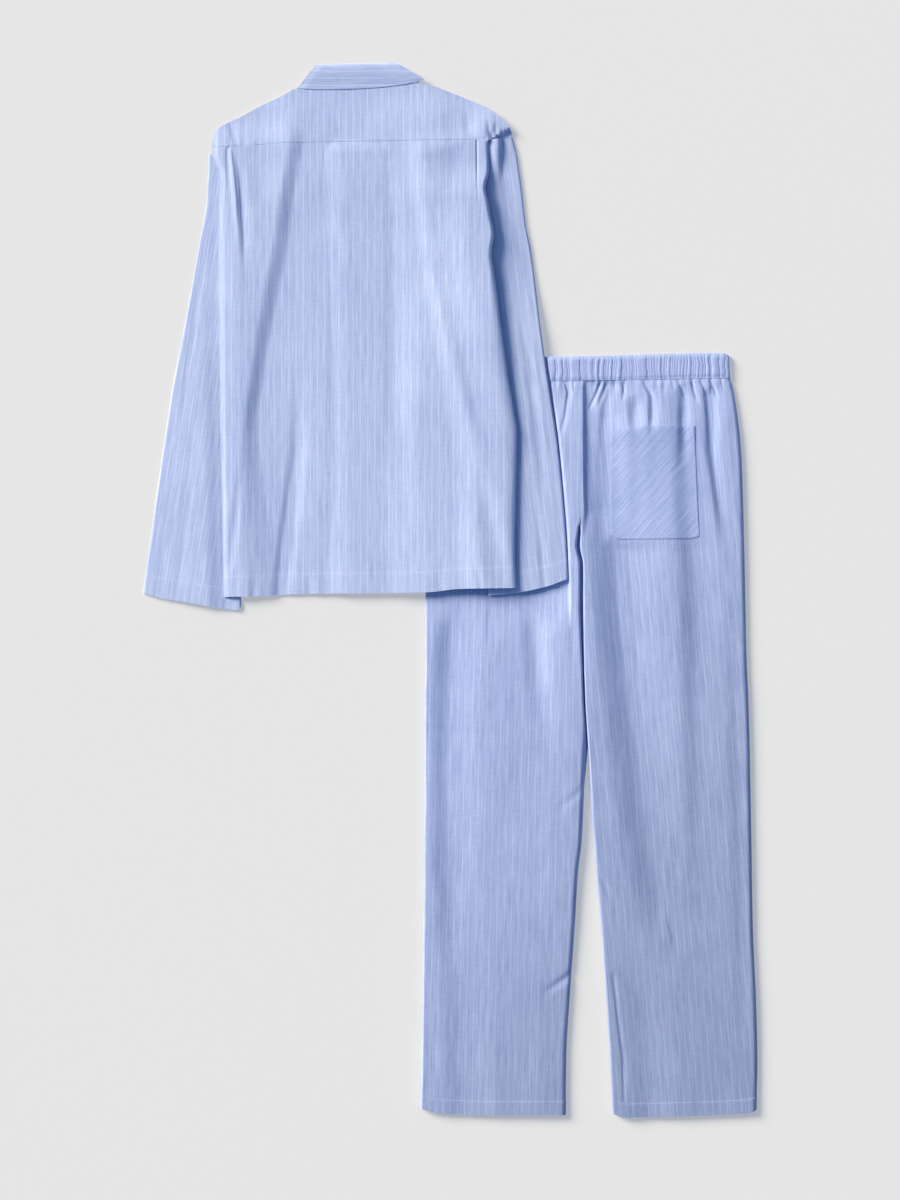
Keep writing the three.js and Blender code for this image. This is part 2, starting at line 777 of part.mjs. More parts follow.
/** How far the front halves of the collar lift the neck. */
const COLLAR_FRONTS = {
  sides: [{ y: 740, left: -215, right: -28 }, { y: 598, left: -190, right: -50 }],
  top: [{ x: -215, y: 740 }, { x: -28, y: 740 }],
  bottom: [{ x: -215, y: 598 }, { x: -28, y: 598 }],
};
const neckUnder = cover(outline(COLLAR_FRONTS), 6, 40, 64);
const COLLAR_FRONTS_RISE = 2 * LAYER + 0.2;
const neckRise = (x, y) => COLLAR_FRONTS_RISE * neckUnder(x, y);

// The body's side edges lie a little free of what is below them, the right one most.
const RIGHT_CURL = { rise: 2.2, width: 34 };
const LEFT_CURL = { rise: 0.8, width: 30 };
const CURL_TOP = 600;
const curl = ({ rise, width }, fromEdge) => rise * (1 - ease(fromEdge / width));
const edgeCurl = (x, y) => ease((CURL_TOP - y) / 60)
  * (curl(RIGHT_CURL, shirtBack.right(y) - x) + curl(LEFT_CURL, x - shirtBack.left(y)));

/** The height of the surface that the shirt's fronts lie on. */
const FRONTS_BEFORE_BACK = 8; // the fronts come down from the left sleeve this much sooner
const bodyFloor = (x, y) => trouserRise(x, y) + leftSleeveRise(x, y, FRONTS_BEFORE_BACK)
  + rightSleeveRise(x, y) + neckRise(x, y) + edgeCurl(x, y);

// The button strip: the left front lies on the buttons, the right front on the left one, then the back.
const STRIP_TOP = 650;
const centreFront = (y) => mix(CENTRE_FRONT_HEM, CENTRE_FRONT_TOP, clamp(y / 600, 0, 1));
const stripShare = (x, y, width) => ease((STRIP_TOP - y) / 40)
  * (1 - ease((Math.abs(x - centreFront(y)) - PLACKET_HALF - 8) / width));
const LEFT_STRIP = { rise: BUTTON_THICK + GAP, width: 26 };
const RIGHT_STRIP = { rise: LEFT_STRIP.rise + LAYER + 0.5, width: 34 };
const BACK_STRIP = { rise: RIGHT_STRIP.rise + 0.75, width: 90 };
const lifted = ({ rise, width }, x, y) => rise * stripShare(x, y, width);
const leftFrontUnder = (x, y) => bodyFloor(x, y) + lifted(LEFT_STRIP, x, y);
const rightFrontUnder = (x, y) => bodyFloor(x, y) + lifted(RIGHT_STRIP, x, y);

/** The air between the shirt's back and its fronts: folds, soft edges and the button strip. */
const BODY_HOLLOW = 2.3;
const YOKE_BLEND = { from: 622, height: 26 }; // where the yoke's side takes over from the back's
const NECK_PRESS = { from: STRIP_TOP, height: 50, share: 0.88 }; // the neck is pressed flat
const above = ({ from, height }, y) => ease((y - from) / height);
function bodyHollow(x, y) {
  const side = mix(shirtBack.toSide(x, y), yoke.toSide(x, y), above(YOKE_BLEND, y));
  const unpressed = 1 - NECK_PRESS.share * above(NECK_PRESS, y);
  const puffed = (BODY_HOLLOW - foldDepth(SHIRT_FOLDS, x, y)) * roundedIn(side) * unpressed;
  return Math.max(puffed, lifted(BACK_STRIP, x, y), 0);
}
const backUnder = (x, y) => trouserRise(x, y) + rightSleeveRise(x, y) + neckRise(x, y) + edgeCurl(x, y)
  + leftSleeveRise(x, y, 0) + LAYER + bodyHollow(x, y);

/** 1 where the trousers lie free, 0 where the shirt or its sleeve lies on them. */
const PRESS_MARGIN = 15;
const PRESS_FADE = 26;
const shirtOver = cover(shirtBack, PRESS_MARGIN, PRESS_FADE, PRESS_FADE);
const sleeveOver = cover(rightSleeve, PRESS_MARGIN, PRESS_FADE, PRESS_FADE);
const trousersFree = (x, y) => 1 - Math.max(shirtOver(x, y), sleeveOver(x, y));

/** The depth of the waist seam's gathers at a place on the trousers. */
const GATHER_HALF_WIDTH = 7;
function gatherDepth(gathers, x, y) {
  const below = waistSeam(x) - y;
  let deepest = 0;
  for (const { x: start, drift, length, deep } of gathers) {
    const line = start + drift * clamp(below / length, 0, 1);
    const near = 1 - clamp(Math.abs(x - line) / GATHER_HALF_WIDTH, 0, 1);
    deepest = Math.max(deepest, deep * near * (1 - ease(below / length)));
  }
  return deepest;
}

const pocketPlace = cover(outline(BACK_POCKET), 0, 24, 24);
const FLATTER_UNDER_POCKET = 0.6;
const TROUSER_HOLLOW = 3.3;
/** The air inside a trouser leg. */
function trouserHollow(leg, gathers, x, y) {
  const loose = roundedIn(leg.toSide(x, y));
  const folds = foldDepth(TROUSER_FOLDS, x, y) * (1 - FLATTER_UNDER_POCKET * pocketPlace(x, y));
  const puffed = (TROUSER_HOLLOW - folds) * loose - gatherDepth(gathers, x, y);
  return PRESSED_HOLLOW * loose + trousersFree(x, y) * clamp(puffed - PRESSED_HOLLOW, 0, MOST_HOLLOW);
}

// Cloth pieces
/** A column in each gather's crease, one on each crest between two, and two more by each side fold. */
function gatherColumns(leg, gathers) {
  const top = waistSeam(CENTRE_BACK);
  const width = leg.right(top) - leg.left(top);
  const valleys = gathers.map((gather) => (gather.x - leg.left(top)) / width);
  const crests = valleys.slice(1).map((share, i) => (share + valleys[i]) / 2);
  return [0, 0.008, 0.035, ...valleys, ...crests, 0.965, 0.992, 1].sort((a, b) => a - b);
}
// Rows are closer together where the shirt's hem crosses the legs.
const LEG_ROWS = [0, 0.02, 0.045, 0.075, 0.115, 0.16, 0.21, 0.255, 0.283, 0.308, 0.335, 0.37, 0.42,
  0.48, 0.54, 0.6, 0.67, 0.74, 0.8, 0.86, 0.93, 1];
const FLAT_LEG_ROWS = [0, 0.045, 0.115, 0.21, 0.26, 0.31, 0.41, 0.51, 0.63, 0.75, 0.86, 1];
const FLAT_COLUMNS = [0, 0.07, 0.36, 0.7, 1];

function trouserBack(leg, gathers) {
  const columns = gatherColumns(leg, gathers);
  const under = (x, y) => LAYER + trouserHollow(leg, gathers, x, y);
  return panelGeometry(leg, columns, LEG_ROWS, under);
}

const trouserFront = (leg) => panelGeometry(leg, FLAT_COLUMNS, FLAT_LEG_ROWS, () => 0);

// The waistband's gathers, as the steps between them from the right end. The pattern then repeats.
const GATHER_STEPS = [9, 10, 8, 5, 5, 6, 5, 5, 7, 5, 8, 6, 7, 13, 4,
  7, 9, 8, 10, 4, 5, 4, 6, 7, 8, 9, 5, 6, 11, 10, 8];
const HIDDEN_GATHER_STEP = 14; // wider under the shirt, where the band is pressed
const BAND_SEEN_FROM = 150;
const CREASE_SHARE = 0.45; // how far from one crest to the next its crease lies
/** The band's columns from left to right, each a crest (1) or a crease (near 0) of its gathers. */
function bandColumns() {
  const { left, right } = WAISTBAND.sides[2];
  const width = right - left;
  const columns = [{ across: 1, ridge: 0 }, { across: 0.992, ridge: 0.6 }];
  let x = right - 4;
  for (let i = 0; x > left + 10; i += 1) {
    const step = x > BAND_SEEN_FROM ? GATHER_STEPS[i % GATHER_STEPS.length] : HIDDEN_GATHER_STEP;
    const deep = 0.7 + 0.3 * Math.sin(i * 2.4);
    columns.push({ across: (x - left) / width, ridge: 1 });
    columns.push({ across: (x - step * CREASE_SHARE - left) / width, ridge: 1 - deep });
    x -= step;
  }
  columns.push({ across: 0.008, ridge: 0.6 }, { across: 0, ridge: 0 });
  return columns.reverse();
}
const BAND_ROWS = [0, 0.12, 0.85, 1];
const BAND_EDGES = [
  { down: 0, wave: 0.35 },
  { down: 0.2, wave: 1 },
  { down: 0.8, wave: 1 },
  { down: 1, wave: 0.7 },
];
const PRESSED_WAVE = 0.8;
const FREE_WAVE = 1.1;
function waistbandGeometry() {
  const columns = bandColumns();
  const gathered = curve(columns, 'across', 'ridge');
  const upper = columns.map((column) => column.across);
  const edge = curve(BAND_EDGES, 'down', 'wave');
  const hollow = (x, y) => {
    const across = (x - waistband.left(y)) / (waistband.right(y) - waistband.left(y));
    const down = (waistband.top(across) - y) / BAND_HEIGHT;
    const wave = gathered(clamp(across, 0, 1)) * edge(down);
    const puffed = FREE_WAVE * (wave + roundedIn(waistband.toSide(x, y)));
    return PRESSED_HOLLOW + PRESSED_WAVE * wave + trousersFree(x, y) * puffed;
  };
  return flatTubeGeometry(waistband, even(8), upper, BAND_ROWS, () => 0, hollow, BAND_WALL);
}

const SLEEVE_COLUMNS = [0, 0.03, 0.1, 0.22, 0.36, 0.5, 0.64, 0.78, 0.9, 0.97, 1];
const SLEEVE_ROWS = 17;
/** A sleeve, pressed flat under the body and softly round past its edge. */
function sleeveGeometry(sleeve, base, beyondBody) {
  const hollow = (x, y) => {
    const loose = roundedIn(sleeve.toSide(x, y)) * ease((sleeve.top(0.9) - 12 - y) / SLEEVE_FADE);
    return PRESSED_HOLLOW + (MOST_HOLLOW - PRESSED_HOLLOW) * loose * ease(beyondBody(x, y));
  };
  return flatTubeGeometry(sleeve, SLEEVE_COLUMNS, SLEEVE_COLUMNS, even(SLEEVE_ROWS), base, hollow, WALL);
}

const BODY_COLUMNS = [0, 0.006, 0.018, 0.036, 0.058, 0.084,
  ...even(24).map((share) => mix(0.11, 0.92, share)), 0.943, 0.954, 0.965, 0.985, 0.994, 1];
const BODY_ROWS = [0, 0.03, 0.06, 0.095, 0.135, ...even(15).map((share) => mix(0.18, 1, share))];
const YOKE_COLUMNS = [0, 0.01, 0.03, 0.055, 0.08,
  ...even(17).map((share) => mix(0.11, 0.89, share)), 0.93, 0.97, 0.99, 1];
const YOKE_ROWS = [0, 0.2, 0.45, 0.7, 0.88, 1];
const FRONT_ROWS = [0, 0.03, 0.07, 0.12, 0.17, 0.23, 0.3, 0.38, 0.46, 0.52, 0.6, 0.7, 0.8, 0.9, 1];
const FRONT_COLUMNS = closerAtSides(17);

/** A button: a disc with softened edges, lying on its face, which has a low dish inside its rim. */
const BUTTON_EDGE = 0.5;
const BUTTON_RIM = 1.8;
const BUTTON_DISH = 0.6;
function buttonGeometry() {
  const inside = BUTTON_RADIUS - BUTTON_EDGE;
  const profile = [
    { r: 0, z: 0 },
    { r: inside, z: 0 },
    { r: BUTTON_RADIUS, z: BUTTON_EDGE },
    { r: BUTTON_RADIUS, z: BUTTON_THICK - BUTTON_EDGE },
    { r: inside, z: BUTTON_THICK },
    { r: BUTTON_RADIUS - BUTTON_RIM, z: BUTTON_THICK },
    { r: BUTTON_RADIUS - BUTTON_RIM - BUTTON_DISH, z: BUTTON_THICK - BUTTON_DISH },
    { r: 0, z: BUTTON_THICK - BUTTON_DISH },
  ];
  const lathe = new THREE.LatheGeometry(profile.map(({ r, z }) => new THREE.Vector2(r, z)), 16);
  return lathe.rotateX(-Math.PI / 2).translate(0, 0, BUTTON_THICK);
}

// The set
const set = new THREE.Group();

function add(name, geometryOfPiece, colour, roughness = 0.9) {
  const material = new THREE.MeshStandardMaterial({ color: colour, roughness, metalness: 0 });
  const mesh = new THREE.Mesh(geometryOfPiece, material);
  mesh.name = name;
  set.add(mesh);
  return mesh;
}

function addPanel(name, piece, columns, rows, under, colour) {
  add(name, panelGeometry(piece, columns, rows, under), colour);
}

function addTrousers() {
  const colour = COLOURS.trouserCloth;
  const left = outline(LEFT_LEG);
  const right = outline(RIGHT_LEG);
  const pocketUnder = (x, y) => 2 * LAYER + trouserHollow(right, RIGHT_GATHERS, x, y) + 0.2;
  add('trouser_front_left', trouserFront(left), colour);
  add('trouser_front_right', trouserFront(right), colour);
  add('trouser_back_left', trouserBack(left, LEFT_GATHERS), colour);
  add('trouser_back_right', trouserBack(right, RIGHT_GATHERS), colour);
  add('waistband', waistbandGeometry(), colour);
  addPanel('back_pocket', outline(BACK_POCKET), even(10), even(9), pocketUnder, COLOURS.pocketCloth);
}

function addShirt() {
  const colour = COLOURS.cloth;
  const beyondLeft = (x, y) => (shirtBack.left(y) - 4 - x) / 26;
  const beyondRight = (x, y) => (x - shirtBack.right(y) - 18) / 24;
  add('sleeve_left', sleeveGeometry(leftSleeve, () => 0, beyondLeft), colour);
  add('sleeve_right', sleeveGeometry(rightSleeve, trouserRise, beyondRight), colour);
  addPanel('front_left', outline(LEFT_FRONT), FRONT_COLUMNS, FRONT_ROWS, leftFrontUnder, colour);
  addPanel('front_right', outline(RIGHT_FRONT), FRONT_COLUMNS, FRONT_ROWS, rightFrontUnder, colour);
  addPanel('shirt_back', shirtBack, BODY_COLUMNS, BODY_ROWS, backUnder, colour);
  addPanel('yoke', yoke, YOKE_COLUMNS, YOKE_ROWS, backUnder, colour);
}

function addCollar() {
  const colour = COLOURS.collarCloth;
  const onSurface = () => 0;
  const onPoints = () => LAYER;
  const onFronts = (x, y) => neckRise(x, y) + LAYER + 0.2;
  const onStand = (x, y) => onFronts(x, y) + LAYER + 0.3;
  addPanel('collar_point_left', outline(LEFT_COLLAR_POINT), even(6), even(3), onSurface, colour);
  addPanel('collar_point_right', outline(RIGHT_COLLAR_POINT), even(6), even(3), onSurface, colour);
  addPanel('collar_stand_front', outline(STAND_FRONT), even(14), even(2), onPoints, colour);
  addPanel('collar_stand_back', outline(STAND_BACK), even(10), even(2), onFronts, colour);
  addPanel('collar_leaf', outline(COLLAR_LEAF), closerAtSides(18), even(5), onStand, colour);
}

function addButtons() {
  for (let i = 0; i < BUTTON_COUNT; i += 1) {
    const button = add(`button_${i + 1}`, buttonGeometry(), COLOURS.button, 0.35);
    const y = HIGHEST_BUTTON - i * BUTTON_PITCH;
    button.position.set(centreFront(y), y, 0);
  }
}

addTrousers();
addShirt();
addCollar();
addButtons();

export default set;
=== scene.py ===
import math

import bpy
import numpy as np
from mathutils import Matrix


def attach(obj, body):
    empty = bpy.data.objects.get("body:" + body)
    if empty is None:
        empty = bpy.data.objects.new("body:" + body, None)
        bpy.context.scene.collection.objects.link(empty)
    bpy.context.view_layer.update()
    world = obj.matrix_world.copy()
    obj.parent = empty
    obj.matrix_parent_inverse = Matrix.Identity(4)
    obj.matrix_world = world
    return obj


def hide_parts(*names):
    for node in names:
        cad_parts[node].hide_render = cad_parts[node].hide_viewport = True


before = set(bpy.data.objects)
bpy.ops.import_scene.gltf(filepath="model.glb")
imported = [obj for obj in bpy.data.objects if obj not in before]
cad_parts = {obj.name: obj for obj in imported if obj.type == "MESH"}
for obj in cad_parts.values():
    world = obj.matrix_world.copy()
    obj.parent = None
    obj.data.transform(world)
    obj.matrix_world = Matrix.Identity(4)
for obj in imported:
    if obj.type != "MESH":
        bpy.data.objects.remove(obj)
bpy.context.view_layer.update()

# A pyjama set laid out flat, seen from its back: a long-sleeved shirt over a pair of trousers.
# Sizes and places are in millimetres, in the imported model's frame, until a mesh is made.
# X runs to the right and Y up the layout, and Z is the height over the surface it lies on.
MM = 0.001

# Driving sizes
SHELL = 0.7  # the cloth's thickness as drawn
HEM_SHELL = 1.3  # the same where it is turned up and sewn
WALL = 1.3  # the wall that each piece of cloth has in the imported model
BAND_WALL = 1.6
GAP = 0.3
LAYER = WALL + GAP
PRESSED_HOLLOW = 0.4  # air between two layers that something lies on
SIDE_ROUNDING = 11  # how far in from a side fold the cloth keeps rising
HIDDEN_SLACK = 0.7
BUTTON_THICK = 2
PLACKET_HALF = 15
TINY = 1e-9
STRIPE_PITCH = 10
SHIRT_HEM = 28
CUFF_HEM = 28
LEG_HEM = 19
POCKET_HEM = 20

# Camera and stage
VIEW_CENTRE_Y = -14
VIEW_HEIGHT = 1680  # how much of the floor the picture shows from top to bottom
CAMERA_DISTANCE = 4000
VIEW_END = 100  # metres
SENSOR = 36
LIGHT_ELEVATION = 24
LIGHT_AZIMUTH = 147  # where the light comes from, in degrees from +X towards +Y
LIGHT_SPREAD = 26
LIGHT_STRENGTH = 6.39
LIGHT_COLOUR = (1.0, 0.909, 0.747)
SKY_STRENGTH = 0.25
SKY_COLOUR = (0.62, 0.95, 1.55, 1)
FLOOR_LEVEL = -0.4  # just under the cloth
FLOOR_REACH = 30000
FLOOR_PAPER = {"colour": (0.449, 0.447, 0.443), "roughness": 0.9, "variation": 0.004, "scale": 3.0}
FLOOR_GLOW = 0.75  # lightens the shadows on it


# Small tools
def mix(start, end, share):
    return start + (end - start) * share


def ease(value):
    share = np.clip(value, 0, 1)
    return share * share * (3 - 2 * share)


def past(value, span):
    """0 before a span's start and 1 after it. A span is (start, length)."""
    return ease((value - span[0]) / span[1])


def joined(*parts):
    return np.stack(parts, axis=-1)


def curve(points):
    """A smooth line through (along, level) points that never overshoots them."""
    points = sorted(points)
    along = np.array([point[0] for point in points], dtype=float)
    level = np.array([point[1] for point in points], dtype=float)
    rises = np.diff(level) / np.diff(along)
    before, after = rises[:-1], rises[1:]
    both = before * after
    total = np.where(np.abs(before + after) > TINY, before + after, 1)
    inner = np.where(both > 0, 2 * both / total, 0)
    slopes = np.concatenate([rises[:1], inner, rises[-1:]])

    def at(value):
        value = np.clip(value, along[0], along[-1])
        i = np.clip(np.searchsorted(along, value, side="right") - 1, 0, len(rises) - 1)
        width = along[i + 1] - along[i]
        share = (value - along[i]) / width
        bend = share * (1 - share) * width
        straight = mix(level[i], level[i + 1], ease(share))
        return straight + bend * ((1 - share) * slopes[i] - share * slopes[i + 1])

    return at


class Piece:
    """A piece as laid out: the x of its sides at each y, and its top and bottom edges."""

    def __init__(self, sides, top, bottom):
        self.left = curve([(y, left) for y, left, _ in sides])
        self.right = curve([(y, right) for y, _, right in sides])
        self.top_line = curve(top)
        self.bottom_line = curve(bottom)
        self.top_level = sum(y for _, y in top) / len(top)
        self.bottom_level = sum(y for _, y in bottom) / len(bottom)

    def top(self, across):
        level = self.top_level
        return self.top_line(mix(self.left(level), self.right(level), across))

    def bottom(self, across):
        level = self.bottom_level
        return self.bottom_line(mix(self.left(level), self.right(level), across))

    def to_side(self, x, y):
        return np.minimum(x - self.left(y), self.right(y) - x)

    def to_top(self, x, y):
        return self.top_line(x) - y

    def to_bottom(self, x, y):
        return y - self.bottom_line(x)

    def to_end(self, x, y):
        return np.minimum(self.to_top(x, y), self.to_bottom(x, y))

    def place(self, across, down):
        y = mix(self.top(across), self.bottom(across), down)
        x = mix(self.left(y), self.right(y), across)
        return x, y

    def flat_area(self):
        """Its area as laid out, in square metres."""
        steps = np.linspace(0, 1, 60)
        across, down = np.meshgrid(steps, steps)
        x, y = self.place(across, down)
        wide = np.diff(x, axis=1)[:-1]
        tall = -np.diff(y, axis=0)[:, :-1]
        return float((wide * tall).sum()) * MM * MM


def raised(line, rise):
    return [(x, y + rise) for x, y in line]


def even(value):
    """The same value all over a piece."""

    def at(x, y):
        return np.full_like(x, value)

    return at


def cover(piece, margin, side_width, end_width):
    """1 on a piece and a margin round it, easing to 0 past its sides and past its ends."""

    def at(x, y):
        beside = ease((piece.to_side(x, y) + margin + side_width) / side_width)
        beyond = ease((piece.to_end(x, y) + margin + end_width) / end_width)
        return beside * beyond

    return at


def fold_depth(folds, x, y):
    """How deep some folds are at each place. A fold's line runs down the cloth."""
    total = np.zeros_like(x)
    for left, right, line in folds:
        strongest = np.zeros_like(x)
        for (from_x, from_y, from_deep), (to_x, to_y, to_deep) in zip(line, line[1:]):
            run_x = to_x - from_x
            run_y = to_y - from_y
            along = ((x - from_x) * run_x + (y - from_y) * run_y) / (run_x**2 + run_y**2)
            share = np.clip(along, 0, 1)
            off_x = x - from_x - run_x * share
            off_y = y - from_y - run_y * share
            width = np.where(run_x * off_y - run_y * off_x > 0, right, left)
            deep = mix(from_deep, to_deep, share) * (1 - ease(np.hypot(off_x, off_y) / width))
            strongest = np.where(np.abs(deep) > np.abs(strongest), deep, strongest)
        total = total + strongest
    return total


def rounded_in(distance, width=SIDE_ROUNDING):
    """0 at a side fold, rising in a quarter round to 1 further in."""
    share = np.clip(distance / width, 0, 1)
    return np.sqrt(1 - (1 - share) ** 2)


LATTICE = 64
LATTICE_SHIFT = (31.7, 29.3)  # keeps the layout's middle away from the lattice's first row


def unevenness(x, y, across, along, seed):
    """A smooth uneven value about 0, whose lumps are `across` wide and `along` tall."""
    lattice = np.random.default_rng(seed).uniform(-1, 1, (LATTICE, LATTICE))
    u = x / across + LATTICE_SHIFT[0]
    v = y / along + LATTICE_SHIFT[1]
    column = np.floor(u).astype(int)
    row = np.floor(v).astype(int)
    share_u = ease(u - column)
    share_v = ease(v - row)

    def corner(up, right):
        return lattice[(row + up) % LATTICE, (column + right) % LATTICE]

    lower = mix(corner(0, 0), corner(0, 1), share_u)
    upper = mix(corner(1, 0), corner(1, 1), share_u)
    return mix(lower, upper, share_v)


# Trouser outlines. Sides are rows of (y, left, right), and edges are points of (x, y).
CENTRE_BACK = 183
WAIST_LEFT = -27
WAIST_RIGHT = 391.6
WAIST_SEAM = 292.6
WAIST_SEAM_RISE = 0.0163  # the seam climbs a little to the right
BAND_HEIGHT = 33


def waist_seam(x):
    return WAIST_SEAM + (x - CENTRE_BACK) * WAIST_SEAM_RISE


def seam_point(x, above=0):
    return (x, waist_seam(x) + above)


LEFT_LEG_SIDES = [
    (293, WAIST_LEFT, 182.7), (238, -32, 182.7), (196, -35, 182.7), (115, -35, 182.4),
    (84, -35, 179.8), (62, -35, 177), (36, -34, 182), (-14, -34, 182), (-98, -34, 185),
    (-154, -35, 187.2), (-210, -35, 189.8), (-287, -35, 187), (-350, -36, 184.1),
    (-392, -36, 179.2), (-469, -37, 174.3), (-567, -38, 167.4), (-655, -39, 162.4),
    (-734, -41, 161.7),
]
RIGHT_LEG_SIDES = [
    (294, 183, WAIST_RIGHT), (285.6, 183, 394.8), (259, 183, 399.7), (213, 183, 405.6),
    (174, 183, 408.2), (84, 182.4, 410.9), (62, 181.4, 411.4), (36, 186, 412), (-14, 186, 413),
    (-98, 187, 414.8), (-154, 188.8, 417.2), (-210, 192.4, 418.8), (-350, 201.3, 421.4),
    (-469, 211.4, 423.4), (-588, 219.8, 428.4), (-655, 224, 429.8), (-733, 227.8, 428.2),
]
LEFT_LEG_TOP = [seam_point(WAIST_LEFT), seam_point(CENTRE_BACK)]
LEFT_LEG_HEM = [(-41, -725), (-26, -729.4), (32, -733.6), (162, -734)]
RIGHT_LEG_TOP = [seam_point(CENTRE_BACK), seam_point(WAIST_RIGHT)]
RIGHT_LEG_HEM = [(228, -731.6), (242, -737.2), (337, -735), (419, -731), (428.4, -726.6)]
left_leg = Piece(LEFT_LEG_SIDES, LEFT_LEG_TOP, LEFT_LEG_HEM)
right_leg = Piece(RIGHT_LEG_SIDES, RIGHT_LEG_TOP, RIGHT_LEG_HEM)

LEG_TUCK = 7  # how far the legs' backs reach under the waistband
SEAT_TUCK = 3  # how far the right back reaches under the left one at the seat seam
SEAT_TUCK_FROM = 110
SLIT_TOP = 130
SLIT_END = -232
SLIT_REACH = 0.6


def slit_row(row):
    """The left front reaches over to the right one in the slit below the crotch."""
    y, left, right = row
    across = SLIT_END < y < SLIT_TOP
    return (y, left, float(right_leg.left(y)) + SLIT_REACH if across else right)


def seat_row(row):
    y, left, right = row
    return (y, left - SEAT_TUCK * (y > SEAT_TUCK_FROM), right)


left_leg_cloth = Piece(LEFT_LEG_SIDES, raised(LEFT_LEG_TOP, LEG_TUCK), LEFT_LEG_HEM)
right_leg_cloth = Piece(
    sides=[seat_row(row) for row in RIGHT_LEG_SIDES],
    top=raised(RIGHT_LEG_TOP, LEG_TUCK),
    bottom=RIGHT_LEG_HEM,
)
left_front_cloth = Piece([slit_row(row) for row in LEFT_LEG_SIDES], LEFT_LEG_TOP, LEFT_LEG_HEM)
waistband = Piece(
    sides=[(331, -26, 389.4), (326, WAIST_LEFT, 390.6), (290, WAIST_LEFT, WAIST_RIGHT)],
    top=[(-27, 324.8), (183, 326.6), (350, 331), (382, 331.2), (390, 328)],
    bottom=[seam_point(WAIST_LEFT, GAP), seam_point(WAIST_RIGHT, GAP)],
)
trousers = Piece(
    sides=[(row[0], row[1], other[2]) for row, other in zip(LEFT_LEG_SIDES, RIGHT_LEG_SIDES)],
    top=[(WAIST_LEFT, 331), (WAIST_RIGHT, 331)],
    bottom=[(WAIST_LEFT, -740), (WAIST_RIGHT, -740)],
)
back_pocket = Piece(
    sides=[(229, 224.6, 341.4), (150, 224.5, 344.6), (72, 224.6, 348.2)],
    top=[(224.6, 224.8), (252, 225.4), (270, 229.2), (342, 229.7)],
    bottom=[(224.6, 76), (237, 71.4), (335, 72), (348, 75)],
)

# Shirt outlines
YOKE_SEAM = [(-334, 618.6), (-294, 620.2), (-216, 625.1), (-70, 627.2), (28, 628.8), (53, 629)]
SHIRT_BACK_SIDES = [
    (629, -331.8, 53.4), (609, -332.2, 54), (597, -328, 54.6), (585, -323.4, 54.2),
    (561, -323.4, 49), (541, -323.8, 53), (522, -324, 56), (497, -324, 60.9), (470, -324.1, 57.6),
    (438, -324.1, 62), (364, -323.4, 71.4), (300, -322.4, 80.6), (255, -322, 88.2),
    (218, -321.4, 93.5), (132, -319.4, 91.6), (53, -318, 90.4), (-9, -316.4, 92.4),
]
SHIRT_BACK_HEM = [(-316, -9.8), (-263, -8.4), (-210, -5.6), (-36, -3.5), (14, 1.4), (92, 2.8)]
shirt_back = Piece(SHIRT_BACK_SIDES, YOKE_SEAM, SHIRT_BACK_HEM)
BACK_TUCK = 6  # how far the back reaches under the yoke
back_cloth = Piece(SHIRT_BACK_SIDES, raised(YOKE_SEAM, BACK_TUCK), SHIRT_BACK_HEM)

NECK_SEAM = 709
LEFT_SHOULDER = [
    (-331.8, 629), (-327.6, 641.2), (-315, 651), (-294, 660.8), (-266, 676.2), (-238, 688.8),
    (-213, 701.6),
]
RIGHT_SHOULDER = [(-20, 703), (0, 695.8), (28, 684.6), (56, 672), (70, 660.8), (81.2, 648.2)]
yoke = Piece(
    sides=[(709, -333, 87.3), (618, -333, 87.3)],
    top=[
        (-333, 623),
        *LEFT_SHOULDER,
        (-196, NECK_SEAM),
        (-50, NECK_SEAM),
        *RIGHT_SHOULDER,
        (86.2, 640),
        (87.3, 636.6),
    ],
    bottom=raised([*YOKE_SEAM, (87.3, 634)], GAP),
)

FRONT_INSET = 9  # the fronts stop this far inside the back's left edge
CENTRE_FRONT_TOP = -121
CENTRE_FRONT_HEM = -112
FRONT_NECK_DEPTH = 615
LEFT_NECKLINE = [(-207, 688), (-194, 664), (-172, 640), (-142, 622), (-121, FRONT_NECK_DEPTH)]


def mirrored_at_neck(points):
    return [(2 * CENTRE_FRONT_TOP - x, y) for x, y in points]


STRIP_LEFT = CENTRE_FRONT_TOP - PLACKET_HALF
STRIP_RIGHT = CENTRE_FRONT_TOP + PLACKET_HALF
STRIP_NECK = FRONT_NECK_DEPTH - 2
left_front = Piece(
    sides=[(y, left + FRONT_INSET, STRIP_RIGHT) for y, left, _ in SHIRT_BACK_SIDES[1:]],
    top=[*LEFT_SHOULDER, *LEFT_NECKLINE, (STRIP_RIGHT, STRIP_NECK)],
    bottom=SHIRT_BACK_HEM,
)
right_front = Piece(
    sides=[
        (648, STRIP_LEFT, 80),
        (636, STRIP_LEFT, 64),
        (628, STRIP_LEFT, 53),
        *[(y, STRIP_LEFT, right) for y, _, right in SHIRT_BACK_SIDES[1:]],
    ],
    top=[
        (STRIP_LEFT, STRIP_NECK),
        *mirrored_at_neck(LEFT_NECKLINE),
        (-29, 702),
        *RIGHT_SHOULDER[1:],
    ],
    bottom=SHIRT_BACK_HEM,
)

# Where the body steps down from the left sleeve: rows of (y, at the sleeve's level, down)
SLEEVE_LEDGE = [
    (616, -227, -207), (546, -238, -220), (476, -248, -228), (406, -262, -242), (350, -272, -253),
    (294, -280, -262), (238, -288, -270), (154, -292, -262), (98, -294, -250), (42, -294, -238),
    (-14, -292, -231),
]
SLEEVE_INSIDE_LEDGE = 10
SLEEVE_INSIDE_FROM = (20, 120)
left_sleeve_outer = curve([
    (612, -337.4), (588, -338.8), (546, -341), (515, -345.8), (476, -352.8), (420, -362.6),
    (336, -378), (280, -389.2), (224, -397.6), (168, -406), (98, -415.8), (56, -421.4),
    (-14, -431.4),
])


